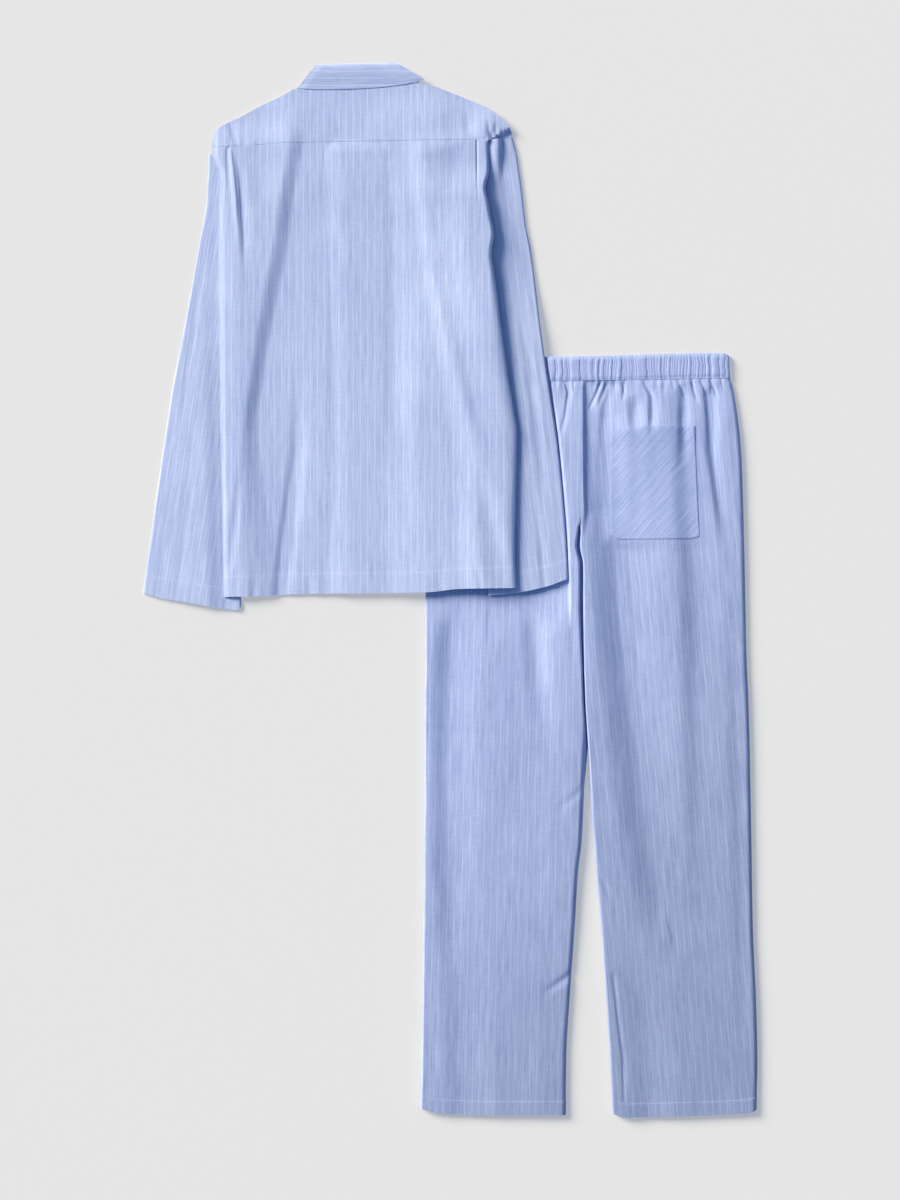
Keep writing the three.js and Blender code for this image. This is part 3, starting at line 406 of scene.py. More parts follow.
def left_sleeve_row(y, ledge):
    inner = ledge - SLEEVE_INSIDE_LEDGE * past(y, SLEEVE_INSIDE_FROM)
    return (y, float(left_sleeve_outer(y)), float(inner))


left_sleeve = Piece(
    sides=[left_sleeve_row(y, ledge) for y, ledge, _ in SLEEVE_LEDGE],
    top=[(-338, 611), (-326, 603), (-300, 598), (-236, 598)],
    bottom=[(-430, -5), (-412, -10), (-370, -17), (-322, -25.2), (-297, -28), (-291, -22)],
)
right_sleeve = Piece(
    sides=[
        (634, -28, 87.5), (609, -26, 93.8), (591, -22, 96.6), (560, -16, 100.8), (511, -8, 106.4),
        (476, -2, 113.4), (364, 16, 127.4), (266, 32, 141.4), (210, 40, 149.8), (126, 47, 158.2),
        (70, 50, 162.4), (15, 53, 164.6), (-8, 53.5, 165),
    ],
    top=[(-28, 600), (0, 608), (53, 627.8), (87.5, 633.2)],
    bottom=[(53, -7.7), (85, -5), (133, 4.2), (163, 14.7)],
)

# The collar: a leaf turned down over a stand, with its front halves underneath
STAND_HEIGHT = 28
STAND_SEAM = 4
STAND_TOP = 716
collar_leaf = Piece(
    sides=[
        (738, -184, -75.5), (734.6, -186.6, -70.6), (724, -195.2, -53.6), (712.7, -204, -36.6),
        (701, -213.5, -36.6),
    ],
    top=[(-187, 734.4), (-150, 735.6), (-96, 736.4), (-84, 738), (-76, 738)],
    bottom=[(-213.5, 701), (-173, 699.4), (-119, 701), (-68, 706.2), (-36.6, 712.5)],
)
stand_back = Piece(
    sides=[(731, -180, -80), (NECK_SEAM, -198, -48)],
    top=[(-180, 728), (-128, 730), (-80, 726)],
    bottom=[(-198, NECK_SEAM + 5), (-48, NECK_SEAM + 5)],
)
NECK_HALF = [(-198, 690), (-188, 664), (-170, 640), (-142, 622), (-121, 615)]
NECK_CURVE = [*NECK_HALF, *mirrored_at_neck(NECK_HALF[:-1])]
STAND_FRONT_LENGTH = 235
stand_front = Piece(
    sides=[(730, -198, -44), (600, -198, -44)],
    top=[(x, min(y, STAND_TOP)) for x, y in raised(NECK_CURVE, STAND_HEIGHT)],
    bottom=raised(NECK_CURVE, -STAND_SEAM),
)
POINT_TOP = [(-196, 702), (-176, 690), (-150, 662), (-121, 642)]
POINT_BOTTOM = [(-196, 676), (-178, 636), (-170, 600), (-150, 604), (-121, 616)]


left_collar_point = Piece(
    sides=[(730, -196, -121.5), (590, -196, -121.5)],
    top=POINT_TOP,
    bottom=POINT_BOTTOM,
)
right_collar_point = Piece(
    sides=[(730, -120.5, -46), (590, -120.5, -46)],
    top=mirrored_at_neck(POINT_TOP),
    bottom=mirrored_at_neck(POINT_BOTTOM),
)

# Folds: (width to its left, width to its right, points of (x, y, depth)). A ridge's depth is negative.
LONG_LEG_TROUGH = [
    (232, 268, 1.5), (240, 200, 4.8), (239, 112, 8.2), (238, 28, 8.6), (245, -56, 8.6),
    (258, -168, 8), (271, -280, 7), (289, -392, 5), (299, -440, 3.2), (316, -480, 0),
]
POCKET_TROUGH = [
    (326, 262, 2), (332, 200, 4.2), (334, 112, 4.6), (344, 28, 3), (346, -168, 2.2),
    (348, -330, 2.2), (352, -480, 0),
]
LEFT_LEG_TROUGH = [
    (6, 20, 1), (3, -56, 4), (-1, -168, 3.8), (0, -392, 3), (12, -560, 2.4), (18, -731, 2),
]
TROUSER_FOLDS = [
    (48, 80, LONG_LEG_TROUGH),
    (26, 44, POCKET_TROUGH),
    (14, 24, [(364, 270, 2.2), (366, 200, 2.4), (379, 112, 2), (388, 40, 0)]),
    (28, 50, LEFT_LEG_TROUGH),
    (24, 24, [(116, 10, 2), (118, -56, 3.8), (122, -120, 3), (130, -190, 1.2), (134, -260, 0)]),
    (6, 9, [(172, -534, 2.2), (150, -550, 1.6), (126, -566, 0)]),
    (6, 8, [(182, -280, 1.4), (164, -296, 1), (144, -312, 0)]),
    (5, 7, [(-28, -196, 0.8), (20, -203, 0.5), (120, -206, 0)]),
    (40, 40, [(262, -500, 0), (276, -600, 2), (280, -731, 2)]),
    (10, 12, [(173, 60, 0), (170, -40, 0.9), (172, -160, 0)]),
    (4, 6, [(228, -540, 0.8), (242, -655, 1), (243, -712, 0.6)]),
    (6, 8, [(205, -392, 0.4), (214, -408, 1), (222, -430, 0)]),
    (16, 14, [(395, -20, 0), (402, -220, 0.9), (408, -480, 0.8), (410, -690, 0)]),
]
SEAT_TROUGH = [
    (191, 290, 2.6), (191, 262, 4.2), (191, 220, 4.6), (192, 150, 4.2), (193, 112, 3.4),
    (190, 70, 0),
]
HIP_TROUGH = [
    (354, 284, 0), (362, 266, 2.6), (365, 236, 3), (366, 190, 2.4), (376, 120, 1.4), (382, 70, 0),
]
# Gathers under the waist seam
WAIST_FOLDS = [
    (7, 24, SEAT_TROUGH),
    (28, 38, [(214, 280, 1), (217, 240, 3.2), (217, 180, 3.8), (216, 112, 3.2), (212, 50, 0)]),
    (2, 5, [(210, 292, 2.2), (203, 272, 1.8), (195, 256, 1)]),
    (2.5, 6, [(219, 291, 2), (212, 272, 1.6), (206, 255, 0)]),
    (9, 14, [(226, 288, 1), (218, 262, 1.6), (214, 220, 1.2), (214, 180, 0)]),
    (2, 4, [(230, 292, 1.2), (231, 276, 0)]),
    (2, 5, [(243, 292, 2), (242, 272, 1.8), (241, 262, 0)]),
    (12, 16, [(256, 272, 0), (258, 255, 2.4), (258, 235, 2.4), (262, 215, 0)]),
    (2.5, 6, [(270, 292, 1.6), (276, 280, 2), (282, 270, 0.8)]),
    (6, 12, [(278, 284, 0), (282, 266, 2.4), (282, 240, 2.6), (280, 215, 0)]),
    (2, 4, [(288, 292, 1.4), (287, 275, 0)]),
    (2, 4, [(300, 292, 1.6), (298, 273, 0)]),
    (2, 4, [(311, 292, 1.4), (313, 276, 0)]),
    (2, 5, [(318, 293, 1.8), (325, 276, 1.6), (328, 268, 0)]),
    (10, 14, [(322, 286, 0), (328, 270, 2), (326, 240, 2.8), (326, 200, 1.6), (322, 170, 0)]),
    (2, 5, [(337, 293, 2), (343, 270, 1.6), (346, 258, 0)]),
    (2, 5, [(350, 293, 1.8), (357, 276, 1.4), (360, 268, 0)]),
    (9, 13, HIP_TROUGH),
    (2, 5, [(363, 293, 1.8), (371, 276, 1.2), (374, 266, 0)]),
    (2, 4, [(379, 293, 1.2), (382, 278, 0)]),
    (3, 8, [(160, 292, 1.4), (165, 276, 1.6), (160, 240, 1.2), (150, 205, 0)]),
    (2, 4, [(172, 292, 1.2), (173, 276, 0)]),
]
# The gathers under the shirt, as (x, drift, length, depth)
for gather_x, drift, length, depth in [
    (-4, 2, 40, 1.2), (20, 2, 46, 1.4), (44, 0, 38, 1.3), (68, -2, 44, 1.5), (92, 2, 40, 1.2),
    (116, 4, 44, 1.4), (138, 3, 42, 1.4),
]:
    WAIST_FOLDS.append((8, 8, [(gather_x, 292, depth), (gather_x + drift, 292 - length, 0)]))
RIGHT_BACK_TROUGH = [
    (-24, 590, 0), (-20, 530, 1.8), (-8, 450, 2.6), (12, 350, 2.4), (36, 262, 1.8), (56, 210, 0),
]
PLEAT_RIDGE = [
    (-307, 616, -0.8), (-303, 588, -1.4), (-299, 546, -1.6), (-296, 500, -0.8), (-294, 450, 0),
]
SHIRT_FOLDS = [
    (14, 20, [(-214, 320, 0), (-214, 200, 1.8), (-222, 126, 2.4), (-231, 56, 2.4), (-238, -10, 2)]),
    (9, 11, [(-292, 180, 0), (-300, 100, 1.3), (-309, 36, 1.3)]),
    (20, 40, RIGHT_BACK_TROUGH),
    (28, 24, [(0, 280, 0), (24, 182, 1.6), (52, 112, 2.2), (66, 52, 2.2), (76, 4, 1.6)]),
    (4, 6, [(-311, 616, 1.6), (-311, 588, 1.2), (-309, 560, 0)]),
    (7, 3, PLEAT_RIDGE),
    (4, 14, [(-300, 610, 0), (-295, 585, 1), (-292, 546, 1.8), (-289, 500, 1.4), (-287, 440, 0)]),
    (2, 3, [(37.2, 627, 1.2), (37.4, 590, 1.2), (38, 535, 0)]),
    (20, 26, [(-150, 560, 0), (-152, 420, 0.9), (-160, 240, 1), (-168, 60, 0.7), (-170, 0, 0.7)]),
    (22, 26, [(-90, 600, 0), (-84, 470, 0.8), (-78, 300, 0.9), (-60, 120, 0.7), (-52, 0, 0.6)]),
    (9, 9, [(-196, 40, 0), (-196, -6, 0.9)]),
    (8, 10, [(-130, 34, 0), (-132, -4, 0.8)]),
    (8, 8, [(-18, 36, 0), (-14, -2, 0.9)]),
    (7, 8, [(38, 40, 0), (42, 2, 0.9)]),
    (8, 8, [(-272, 44, 0), (-274, -8, 0.9)]),
]
YOKE_FOLDS = [
    (6, 9, [(-308, 654, 0.4), (-304, 640, 1.6), (-300, 626, 0.6)]),
    (6, 9, [(-298, 640, 0.2), (-288, 626, 1.2), (-282, 618, 0.4)]),
    (12, 14, [(18, 662, 0), (26, 646, 2), (38, 634, 0.4)]),
    (4, 5, [(50, 654, 0), (54, 642, 2), (57, 634, 1.6)]),
    (4, 5, [(67, 652, 0), (63, 641, 1.8), (58, 633, 1.4)]),
    (16, 20, [(-120, 700, 0), (-110, 664, 0.5), (-105, 634, 0)]),
]
SLEEVE_FOLDS = [
    (9, 12, [(-346, 520, 0), (-352, 430, 1.1), (-366, 320, 1.2), (-378, 210, 0)]),
    (10, 12, [(-352, 260, 0), (-366, 140, 1.2), (-378, 30, 1.1), (-384, -18, 0.9)]),
    (8, 8, [(-395, 120, 0), (-404, 20, 0.9), (-409, -8, 0.7)]),
    (9, 12, [(96, 420, 0), (112, 300, 1.4), (126, 190, 1.3), (134, 90, 0)]),
    (8, 10, [(118, 140, 0), (128, 60, 1.2), (132, 4, 1)]),
    (10, 14, [(72, 600, 0), (80, 560, 0.6), (90, 500, 0)]),
]


# How one garment lifts another
ledge_from = curve([(y, start) for y, start, _ in SLEEVE_LEDGE])
ledge_to = curve([(y, end) for y, _, end in SLEEVE_LEDGE])
PRESSED_SLEEVE = 2 * WALL + PRESSED_HOLLOW + GAP + HIDDEN_SLACK
PRESSED_TROUSERS = 2 * WALL + GAP + PRESSED_HOLLOW + GAP + HIDDEN_SLACK
GATHER_RISE = 1
PRESSED_BAND = 2 * BAND_WALL + PRESSED_HOLLOW + GATHER_RISE + GAP + HIDDEN_SLACK
SLEEVE_FADE = 40
trousers_under = cover(trousers, 8, 50, 120)
band_under = cover(waistband, 12, 50, 110)
right_sleeve_under = cover(right_sleeve, 7, 36, SLEEVE_FADE)


def trouser_rise(x, y):
    """How far the trousers lift what lies on them."""
    band = (PRESSED_BAND - PRESSED_TROUSERS) * band_under(x, y)
    return PRESSED_TROUSERS * trousers_under(x, y) + band


LEDGE_SPREAD = 3
SLEEVE_ABOVE = 10


def left_sleeve_rise(x, y, shift=0):
    start = ledge_from(y) - LEDGE_SPREAD
    down = ease((x + shift - start) / (ledge_to(y) + LEDGE_SPREAD - start))
    above = ease((left_sleeve.top(0) + SLEEVE_ABOVE + SLEEVE_FADE - y) / SLEEVE_FADE)
    return PRESSED_SLEEVE * (1 - down) * above


def right_sleeve_rise(x, y):
    return PRESSED_SLEEVE * right_sleeve_under(x, y)


collar_fronts = Piece(
    sides=[(740, -215, -28), (598, -190, -50)],
    top=[(-215, 740), (-28, 740)],
    bottom=[(-215, 598), (-28, 598)],
)
neck_under = cover(collar_fronts, 6, 70, 90)
STAND_GAP = 0.2
COLLAR_FRONTS_RISE = 2 * LAYER + STAND_GAP


def neck_rise(x, y):
    return COLLAR_FRONTS_RISE * neck_under(x, y)


# The body's right edge stands high, so it throws a deep shadow on the sleeve.
RIGHT_RISE = (2.2, 7.6)  # at the hem and at the armhole
RIGHT_RISE_WIDTH = 150
RIGHT_RISE_FROM = (200, 250)  # the span up the body where it grows
RIGHT_RISE_TOP = 604


def edge_rise(x, y):
    most = mix(*RIGHT_RISE, past(y, RIGHT_RISE_FROM))
    right = most * (1 - ease((shirt_back.right(y) - x) / RIGHT_RISE_WIDTH))
    return right * ease((RIGHT_RISE_TOP - y) / 60)


def layers_under(x, y, shift=0):
    """How far the trousers, the sleeves and the collar's fronts lift the shirt's body."""
    lifted = trouser_rise(x, y) + left_sleeve_rise(x, y, shift) + right_sleeve_rise(x, y)
    return lifted + neck_rise(x, y) + edge_rise(x, y)


# The button strip: the left front lies on the buttons, the right front on it, then the back.
STRIP_TOP = 650
STRIP_HEIGHT = 600
STRIP_MARGIN = PLACKET_HALF + 8
LEFT_STRIP = (BUTTON_THICK + GAP, 26)  # how far it is lifted, and how wide its slopes are
RIGHT_STRIP = (LEFT_STRIP[0] + LAYER + 0.5, 34)
BACK_STRIP = (RIGHT_STRIP[0] + 0.75, 60)


def strip_lift(strip, x, y):
    rise, width = strip
    centre = mix(CENTRE_FRONT_HEM, CENTRE_FRONT_TOP, np.clip(y / STRIP_HEIGHT, 0, 1))
    beside = ease((np.abs(x - centre) - STRIP_MARGIN) / width)
    return rise * ease((STRIP_TOP - y) / 40) * (1 - beside)


FRONTS_SHIFT = 8  # the fronts come down from the left sleeve this much before the back does


def front_height(strip):
    def at(x, y):
        return layers_under(x, y, FRONTS_SHIFT) + strip_lift(strip, x, y) + WALL / 2

    return at


BODY_HOLLOW = 5.2
LOW_HOLLOW = 1.8  # beside the left sleeve, where the body comes down on the surface
HOLLOW_WIDTH = 170
SLEEVE_PUFF = 0.6
LEFT_ROUNDING = 44
LEFT_START = 12  # how much of that rise is over at the edge itself
YOKE_START = 20
RIGHT_ROUNDING = (16, 5)  # at the hem and at the armhole
RIGHT_ROUNDING_FROM = (300, 200)  # the span up the body where it tightens
YOKE_BLEND = (622, 26)  # the span where the yoke's sides take over
SEAM_PUCKER = 0.25
SEAM_LEVEL = 627
NECK_HOLLOW = 1


def body_sides(x, y):
    """How fully the body has risen from its side edges: gently at the left, steeply at the right."""
    in_yoke = past(y, YOKE_BLEND)
    left = mix(x - shirt_back.left(y), x - yoke.left(y) + YOKE_START, in_yoke)
    right = mix(shirt_back.right(y) - x, yoke.right(y) - x, in_yoke)
    width = mix(*RIGHT_ROUNDING, past(y, RIGHT_ROUNDING_FROM))
    return ease((left + LEFT_START) / LEFT_ROUNDING) * rounded_in(right, width)


def body_hollow(x, y, folds):
    """The air between the shirt's back and its fronts: folds, soft edges and the button strip."""
    waves = 0.55 * unevenness(x, y, 46, 190, 3) + 0.22 * unevenness(x, y, 17, 90, 5)
    over_sleeve = SLEEVE_PUFF * left_sleeve_rise(x, y) / PRESSED_SLEEVE
    fullness = mix(LOW_HOLLOW, BODY_HOLLOW, ease((x - ledge_to(y)) / HOLLOW_WIDTH))
    puffed = fullness + over_sleeve + waves - fold_depth(folds, x, y)
    pressed = past(y, (STRIP_TOP, 50))
    hollow = np.maximum(puffed * body_sides(x, y), strip_lift(BACK_STRIP, x, y))
    return mix(hollow, NECK_HOLLOW, pressed)


def over_fronts(x, y):
    """The height of cloth that lies flat on the fronts. Its left edge reaches down past theirs."""
    past_front = LAYER * (1 - ease((x - shirt_back.left(y)) / FRONT_INSET))
    return layers_under(x, y) + LAYER + WALL / 2 - past_front


def seam_pucker(x, y):
    near = 1 - ease(np.abs(y - SEAM_LEVEL) / 14)
    return SEAM_PUCKER * unevenness(x, y, 5, 300, 12) * near


BACK_TUCKED = 0.9  # how far the back's top edge dips under the yoke
YOKE_STEP = 0.3
SHOULDER_DROP = 3.8
SHOULDER_ACROSS = (40, 40)  # the span over which it drops
SHOULDER_UP = (640, 40)  # the span over which the drop ends


def back_height(x, y):
    hem_pucker = SEAM_PUCKER * unevenness(x, y, 6, 300, 11) * (1 - ease((y + 8) / 34))
    tucked = BACK_TUCKED * ease((y - yoke.bottom_line(x) + 0.5) / 4)
    hollow = body_hollow(x, y, SHIRT_FOLDS)
    return over_fronts(x, y) + hollow + hem_pucker + seam_pucker(x, y) - tucked


def yoke_height(x, y):
    """The yoke's turned edge lies on the back along their seam, and it drops at the right shoulder."""
    shoulder = SHOULDER_DROP * past(x, SHOULDER_ACROSS) * (1 - past(y, SHOULDER_UP))
    puffed = body_hollow(x, y, YOKE_FOLDS) + YOKE_STEP + seam_pucker(x, y)
    return over_fronts(x, y) + puffed - shoulder


# Trousers
PRESS_MARGIN = 0.5
PRESS_FADE = 4  # how soon the trousers rise past the shirt's sides
HEM_FADE = 75  # how soon they rise below its hems
shirt_over = cover(shirt_back, PRESS_MARGIN, PRESS_FADE, HEM_FADE)
sleeve_over = cover(right_sleeve, PRESS_MARGIN, PRESS_FADE, HEM_FADE)
HEM_HOLLOW = 5.2
HIP_HOLLOW = (9, 5)  # at the seat seam and at the outer side
HIP_SPAN = (250, 140)  # the span between those two
HIP_BESIDE_SLEEVE = 0.5  # how full the hip is there
BESIDE_SLEEVE = (100, 85)  # the span where it fills out
LEG_SPAN = (-700, 640)  # the span from the hem's air to the hip's
CROTCH = (84, 26)  # the span where the two backs join into one
pocket_place = cover(back_pocket, 0, 20, 20)


def trousers_free(x, y):
    """1 where the trousers lie free, 0 where the shirt or its sleeve lies on them."""
    return 1 - np.maximum(shirt_over(x, y), sleeve_over(x, y))


# Creases of the gathered waist, left to right where it shows; to the left they repeat unevenly.
BAND_CREASES = [
    150.8, 157.2, 164, 167.4, 182.1, 191, 192.8, 199.7, 203, 208, 210.6, 215.7, 218.3, 222.6,
    226.7, 229.7, 233.5, 239.4, 243, 245.2, 248, 252.1, 254.7, 258.2, 261.5, 275.5, 280.1, 283.2,
    287, 291.3, 295.9, 301, 304, 308.6, 312.4, 315, 319.3, 323.9, 327.7, 332.8, 337.4, 340.4,
    344.7, 348.8, 354.4, 358.2, 363.3, 366.6, 377.3, 386,
]
HIDDEN_STEPS = [4, 7, 3, 5, 9, 4]


def band_creases():
    creases = list(BAND_CREASES)
    step = 0
    while creases[0] > WAIST_LEFT + 14:
        creases.insert(0, creases[0] - HIDDEN_STEPS[step % len(HIDDEN_STEPS)])
        step += 1
    return np.array([WAIST_LEFT - 1, *creases, WAIST_RIGHT + 1])


creases = band_creases()


def ribs(x, y):
    """The flat ribs between the waist's narrow creases, in millimetres."""
    wandering = 0.7 * np.sin(y * 0.17 + x * 0.06) + 0.3 * np.sin(y * 0.39 + x * 0.11)
    x = np.clip(x + wandering, creases[0], creases[-1])
    i = np.clip(np.searchsorted(creases, x, side="right") - 1, 0, len(creases) - 2)
    width = creases[i + 1] - creases[i]
    share = (x - creases[i]) / width
    high = np.clip(0.22 * width, 0.6, 1.3) * (0.75 + 0.25 * np.sin(i * 2.4))
    return high * np.power(np.clip(4 * share * (1 - share), 0, 1), 0.3)


BAND_PRESSED_WAVE = 0.3
BAND_PUFF = 1.6
BAND_TOP_FOLD = 1.4
BAND_SEAM_DIP = 0.5


def band_hollow(x, y):
    """The air in the waistband: ribs that fade at its top edge, and a rounded top fold."""
    down = (waistband.top_line(x) - y) / BAND_HEIGHT
    at_top = 0.2 + 0.8 * ease((down - 0.04) / 0.14)
    at_seam = 0.75 + 0.25 * ease((1 - down) / 0.14)
    top_fold = BAND_TOP_FOLD * rounded_in(down * BAND_HEIGHT, 5)
    seam_dip = BAND_SEAM_DIP * (1 - ease((1 - down) * BAND_HEIGHT / 3))
    wave = ribs(x, y) * at_top * at_seam
    puffed = wave + BAND_PUFF * rounded_in(waistband.to_side(x, y)) + top_fold - seam_dip
    free = trousers_free(x, y)
    pressed = np.minimum(BAND_PRESSED_WAVE * wave, GATHER_RISE)
    return PRESSED_HOLLOW + mix(pressed, np.maximum(puffed, 0), free)


WAIST_HOLLOW = 4.4
MOST_AIR = 12
BAND_OVER_LEG = 0.2  # keeps the seam shut
UNDER_BAND = 1.6  # how far the legs' top edge dips under the waistband
PUCKER = 0.8  # how much of the waistband's ribs goes on into the legs
LEG_ROUNDING = 7
SLIT_ROUNDING = 3
LIT_ROUNDING = 1.8  # of the side that faces the light


def leg_side(leg, outer_is_left, x, y):
    """How far a place is in from the leg's side folds. Above the crotch the seat seam is no fold."""
    left = (x - leg.left(y)) * LEG_ROUNDING / LIT_ROUNDING
    right = leg.right(y) - x
    seat = 60 * past(y, CROTCH)
    if outer_is_left:
        steeper = mix(1, LEG_ROUNDING / SLIT_ROUNDING, past(y, (SLIT_END, 60)))
        return np.minimum(left, right * steeper + seat)
    return np.minimum(left + seat, right)


def trouser_hollow(leg, outer_is_left, x, y):
    """The air inside a trouser leg."""
    loose = rounded_in(leg_side(leg, outer_is_left, x, y), LEG_ROUNDING)
    below = waist_seam(x) - y
    hip = mix(*HIP_HOLLOW, past(x, HIP_SPAN))
    hip = hip * mix(HIP_BESIDE_SLEEVE, 1, past(x, BESIDE_SLEEVE))
    leg_fullness = mix(HEM_HOLLOW, hip, past(y, LEG_SPAN))
    fullness = mix(leg_fullness, WAIST_HOLLOW, 1 - ease(below / 90))
    waves = 0.5 * unevenness(x, y, 40, 170, 21) + 0.25 * unevenness(x, y, 15, 70, 22)
    folds = fold_depth(TROUSER_FOLDS, x, y) * (1 - 0.35 * pocket_place(x, y))
    folds = folds + fold_depth(WAIST_FOLDS, x, y)
    pucker = PUCKER * (ribs(x, y) - 0.9) * (1 - ease(below / 24))
    puffed = np.maximum(fullness + waves - folds + pucker, 0.6)
    to_band = band_hollow(x, waist_seam(x)) + BAND_OVER_LEG
    to_band = to_band - 0.5 * fold_depth(WAIST_FOLDS, x, y)
    puffed = mix(to_band, puffed, ease(below / 7)) - UNDER_BAND * ease(-below / 3)
    free = np.clip(puffed * loose - PRESSED_HOLLOW, 0, MOST_AIR)
    return PRESSED_HOLLOW * loose + trousers_free(x, y) * free


def left_back_height(x, y):
    return LAYER + WALL / 2 + trouser_hollow(left_leg, True, x, y)


SEAT_LAP = 0.9  # how far the right back dips under the left one


def right_back_height(x, y):
    tucked = 1 - ease((x - CENTRE_BACK) / SEAT_TUCK + 1)
    under_left = SEAT_LAP * tucked * past(y, CROTCH)
    return LAYER + WALL / 2 + trouser_hollow(right_leg, False, x, y) - under_left


POCKET_STEP = 0.7
POCKET_BULGE = (0.3, 14)  # how high, and how far in from the edges
POCKET_MOUTH = (0.8, 16, 22)  # how far it gapes, how far down, and how far in from its sides


def pocket_height(x, y):
    high, width = POCKET_BULGE
    edge = np.minimum(back_pocket.to_side(x, y), back_pocket.to_end(x, y))
    gape, down, side = POCKET_MOUTH
    mouth = gape * (1 - ease(back_pocket.to_top(x, y) / down)) * ease(back_pocket.to_side(x, y) / side)
    return right_back_height(x, y) + POCKET_STEP + high * rounded_in(edge, width) + mouth


# Collar
on_surface = even(WALL / 2)
on_points = even(LAYER + WALL / 2)


def stand_back_height(x, y):
    return neck_rise(x, y) + LAYER + STAND_GAP + WALL / 2


LEAF_STEP = 0.95
LEAF_ROLL = (3, 9)  # how far the leaf rolls over at its top fold, and over what length
LEAF_ON_STAND = 0.9
LEAF_END_DROP = 0.6


def leaf_height(x, y):
    """The leaf rolls over the stand at its top fold and lies on the yoke below it."""
    rolled = LEAF_ROLL[0] * (1 - rounded_in(collar_leaf.to_top(x, y), LEAF_ROLL[1]))
    stand = LEAF_ON_STAND * past(y, (NECK_SEAM, 8))
    ends = LEAF_END_DROP * (1 - ease(collar_leaf.to_side(x, y) / 12))
    waves = 0.25 * unevenness(x, y, 30, 12, 41)
    over_yoke = neck_rise(x, y) + LAYER + WALL / 2 + NECK_HOLLOW
    return over_yoke + LEAF_STEP + stand + waves - rolled - ends


# Sleeves
UNDER_BODY = 0.9  # the most air in the left sleeve where the body lies on it
RIGHT_HOLLOW = 1.8
LEFT_HOLLOW = 0.3
LEFT_RISE = (0.045, 4.4)  # the slope up towards the body, and its most
TUBE_TOP = 1.5 * WALL  # from a tube's underside to the middle of its upper wall, with no air in it
SHOULDER_AIR = 9  # the most air in the right sleeve at the shoulder
SHOULDER = (560, 60)  # where the right sleeve rises to the yoke


def left_sleeve_hollow(x, y):
    """The left sleeve lies flat, and its back rises a little towards the body's edge on it."""
    loose = rounded_in(x - left_sleeve.left(y), 4)
    waves = 0.35 * unevenness(x, y, 34, 120, 31) - 0.4 * fold_depth(SLEEVE_FOLDS, x, y)
    rising = np.minimum(LEFT_RISE[0] * (x - left_sleeve.left(y)), LEFT_RISE[1])
    beside = ease(((shirt_back.left(y) - 4 - x) / 26 + 0.6) / 1.2)
    rising = rising * mix(0.35, 1, ease((shirt_back.left(y) - 3 - x) / 22))
    free = np.maximum(LEFT_HOLLOW + rising + waves * beside, 0.2) * loose
    return mix(free, np.minimum(free, UNDER_BODY), ease((x - shirt_back.left(y) + 3) / 6))


YOKE_END_LEVEL = 636


def right_sleeve_hollow(x, y):
    """The right sleeve lies flat beside the body, and rises to the yoke at the shoulder."""
    loose = rounded_in(right_sleeve.to_side(x, y), 3)
    waves = 0.4 * unevenness(x, y, 34, 120, 31) - fold_depth(SLEEVE_FOLDS, x, y)
    flatter = mix(0.5, 1, ease((right_sleeve.right(y) - x) / 30))
    beside_body = ease((x - shirt_back.right(y) + 4) / 10)
    free = np.maximum(RIGHT_HOLLOW + waves, 0.3) * flatter * loose * beside_body
    to_yoke = yoke_height(x, np.full_like(y, YOKE_END_LEVEL)) - trouser_rise(x, y) - TUBE_TOP
    share = past(y, SHOULDER) * beside_body
    return PRESSED_HOLLOW + mix(free, np.clip(to_yoke, 0, SHOULDER_AIR), share)


def sleeve_top(base, hollow):
    """The height of a sleeve's upper wall."""

    def at(x, y):
        return base(x, y) + TUBE_TOP + hollow(x, y)

    return at


# Meshes
def show(data, name):
    thing = bpy.data.objects.new(name, data)
    bpy.context.scene.collection.objects.link(thing)
    return thing


SHARP_ANGLE = 55


def shell_mesh(name, points, faces, uv, material):
    """A shell from its points in millimetres, with its cloth map in metres on both faces."""
    uv = np.concatenate([uv.reshape(-1, 2)] * 2)
    mesh = bpy.data.meshes.new(name)
    mesh.from_pydata((points * MM).tolist(), [], faces.tolist())
    layer = mesh.uv_layers.new(name="cloth")
    corners = np.empty(len(mesh.loops), dtype=int)
    mesh.loops.foreach_get("vertex_index", corners)
    layer.data.foreach_set("uv", (uv[corners] * MM).ravel())
    mesh.polygons.foreach_set("use_smooth", np.ones(len(mesh.polygons), dtype=bool))
    mesh.set_sharp_from_angle(angle=math.radians(SHARP_ANGLE))
    mesh.materials.append(material)
    mesh.update()
    return mesh


def quads(first, second, third, fourth):
    return np.stack([first.ravel(), second.ravel(), third.ravel(), fourth.ravel()], axis=1)


def shell_points(middle, normals, thick):
    """The points of both faces of a shell round its middle surface."""
    half = normals * thick[..., None] / 2
    return np.concatenate([(middle + half).reshape(-1, 3), (middle - half).reshape(-1, 3)])


def unit(vectors):
    return vectors / np.maximum(np.linalg.norm(vectors, axis=-1, keepdims=True), TINY)


def sheet_mesh(name, middle, thick, uv, material):
    """A closed shell about a grid of points, rows down and columns to the right."""
    normals = unit(np.cross(np.gradient(middle, axis=0), np.gradient(middle, axis=1)))
    rows, columns = middle.shape[:2]
    over = np.arange(rows * columns).reshape(rows, columns)
    under = over + rows * columns
    rim = np.concatenate([over[0, ::-1], over[1:, 0], over[-1, 1:], over[-2:0:-1, -1]])
    rim_under = rim + rows * columns
    faces = np.concatenate([
        quads(over[:-1, :-1], over[1:, :-1], over[1:, 1:], over[:-1, 1:]),
        quads(under[:-1, :-1], under[:-1, 1:], under[1:, 1:], under[1:, :-1]),
        quads(rim, rim_under, np.roll(rim_under, -1), np.roll(rim, -1)),
    ])
    return shell_mesh(name, shell_points(middle, normals, thick), faces, uv, material)


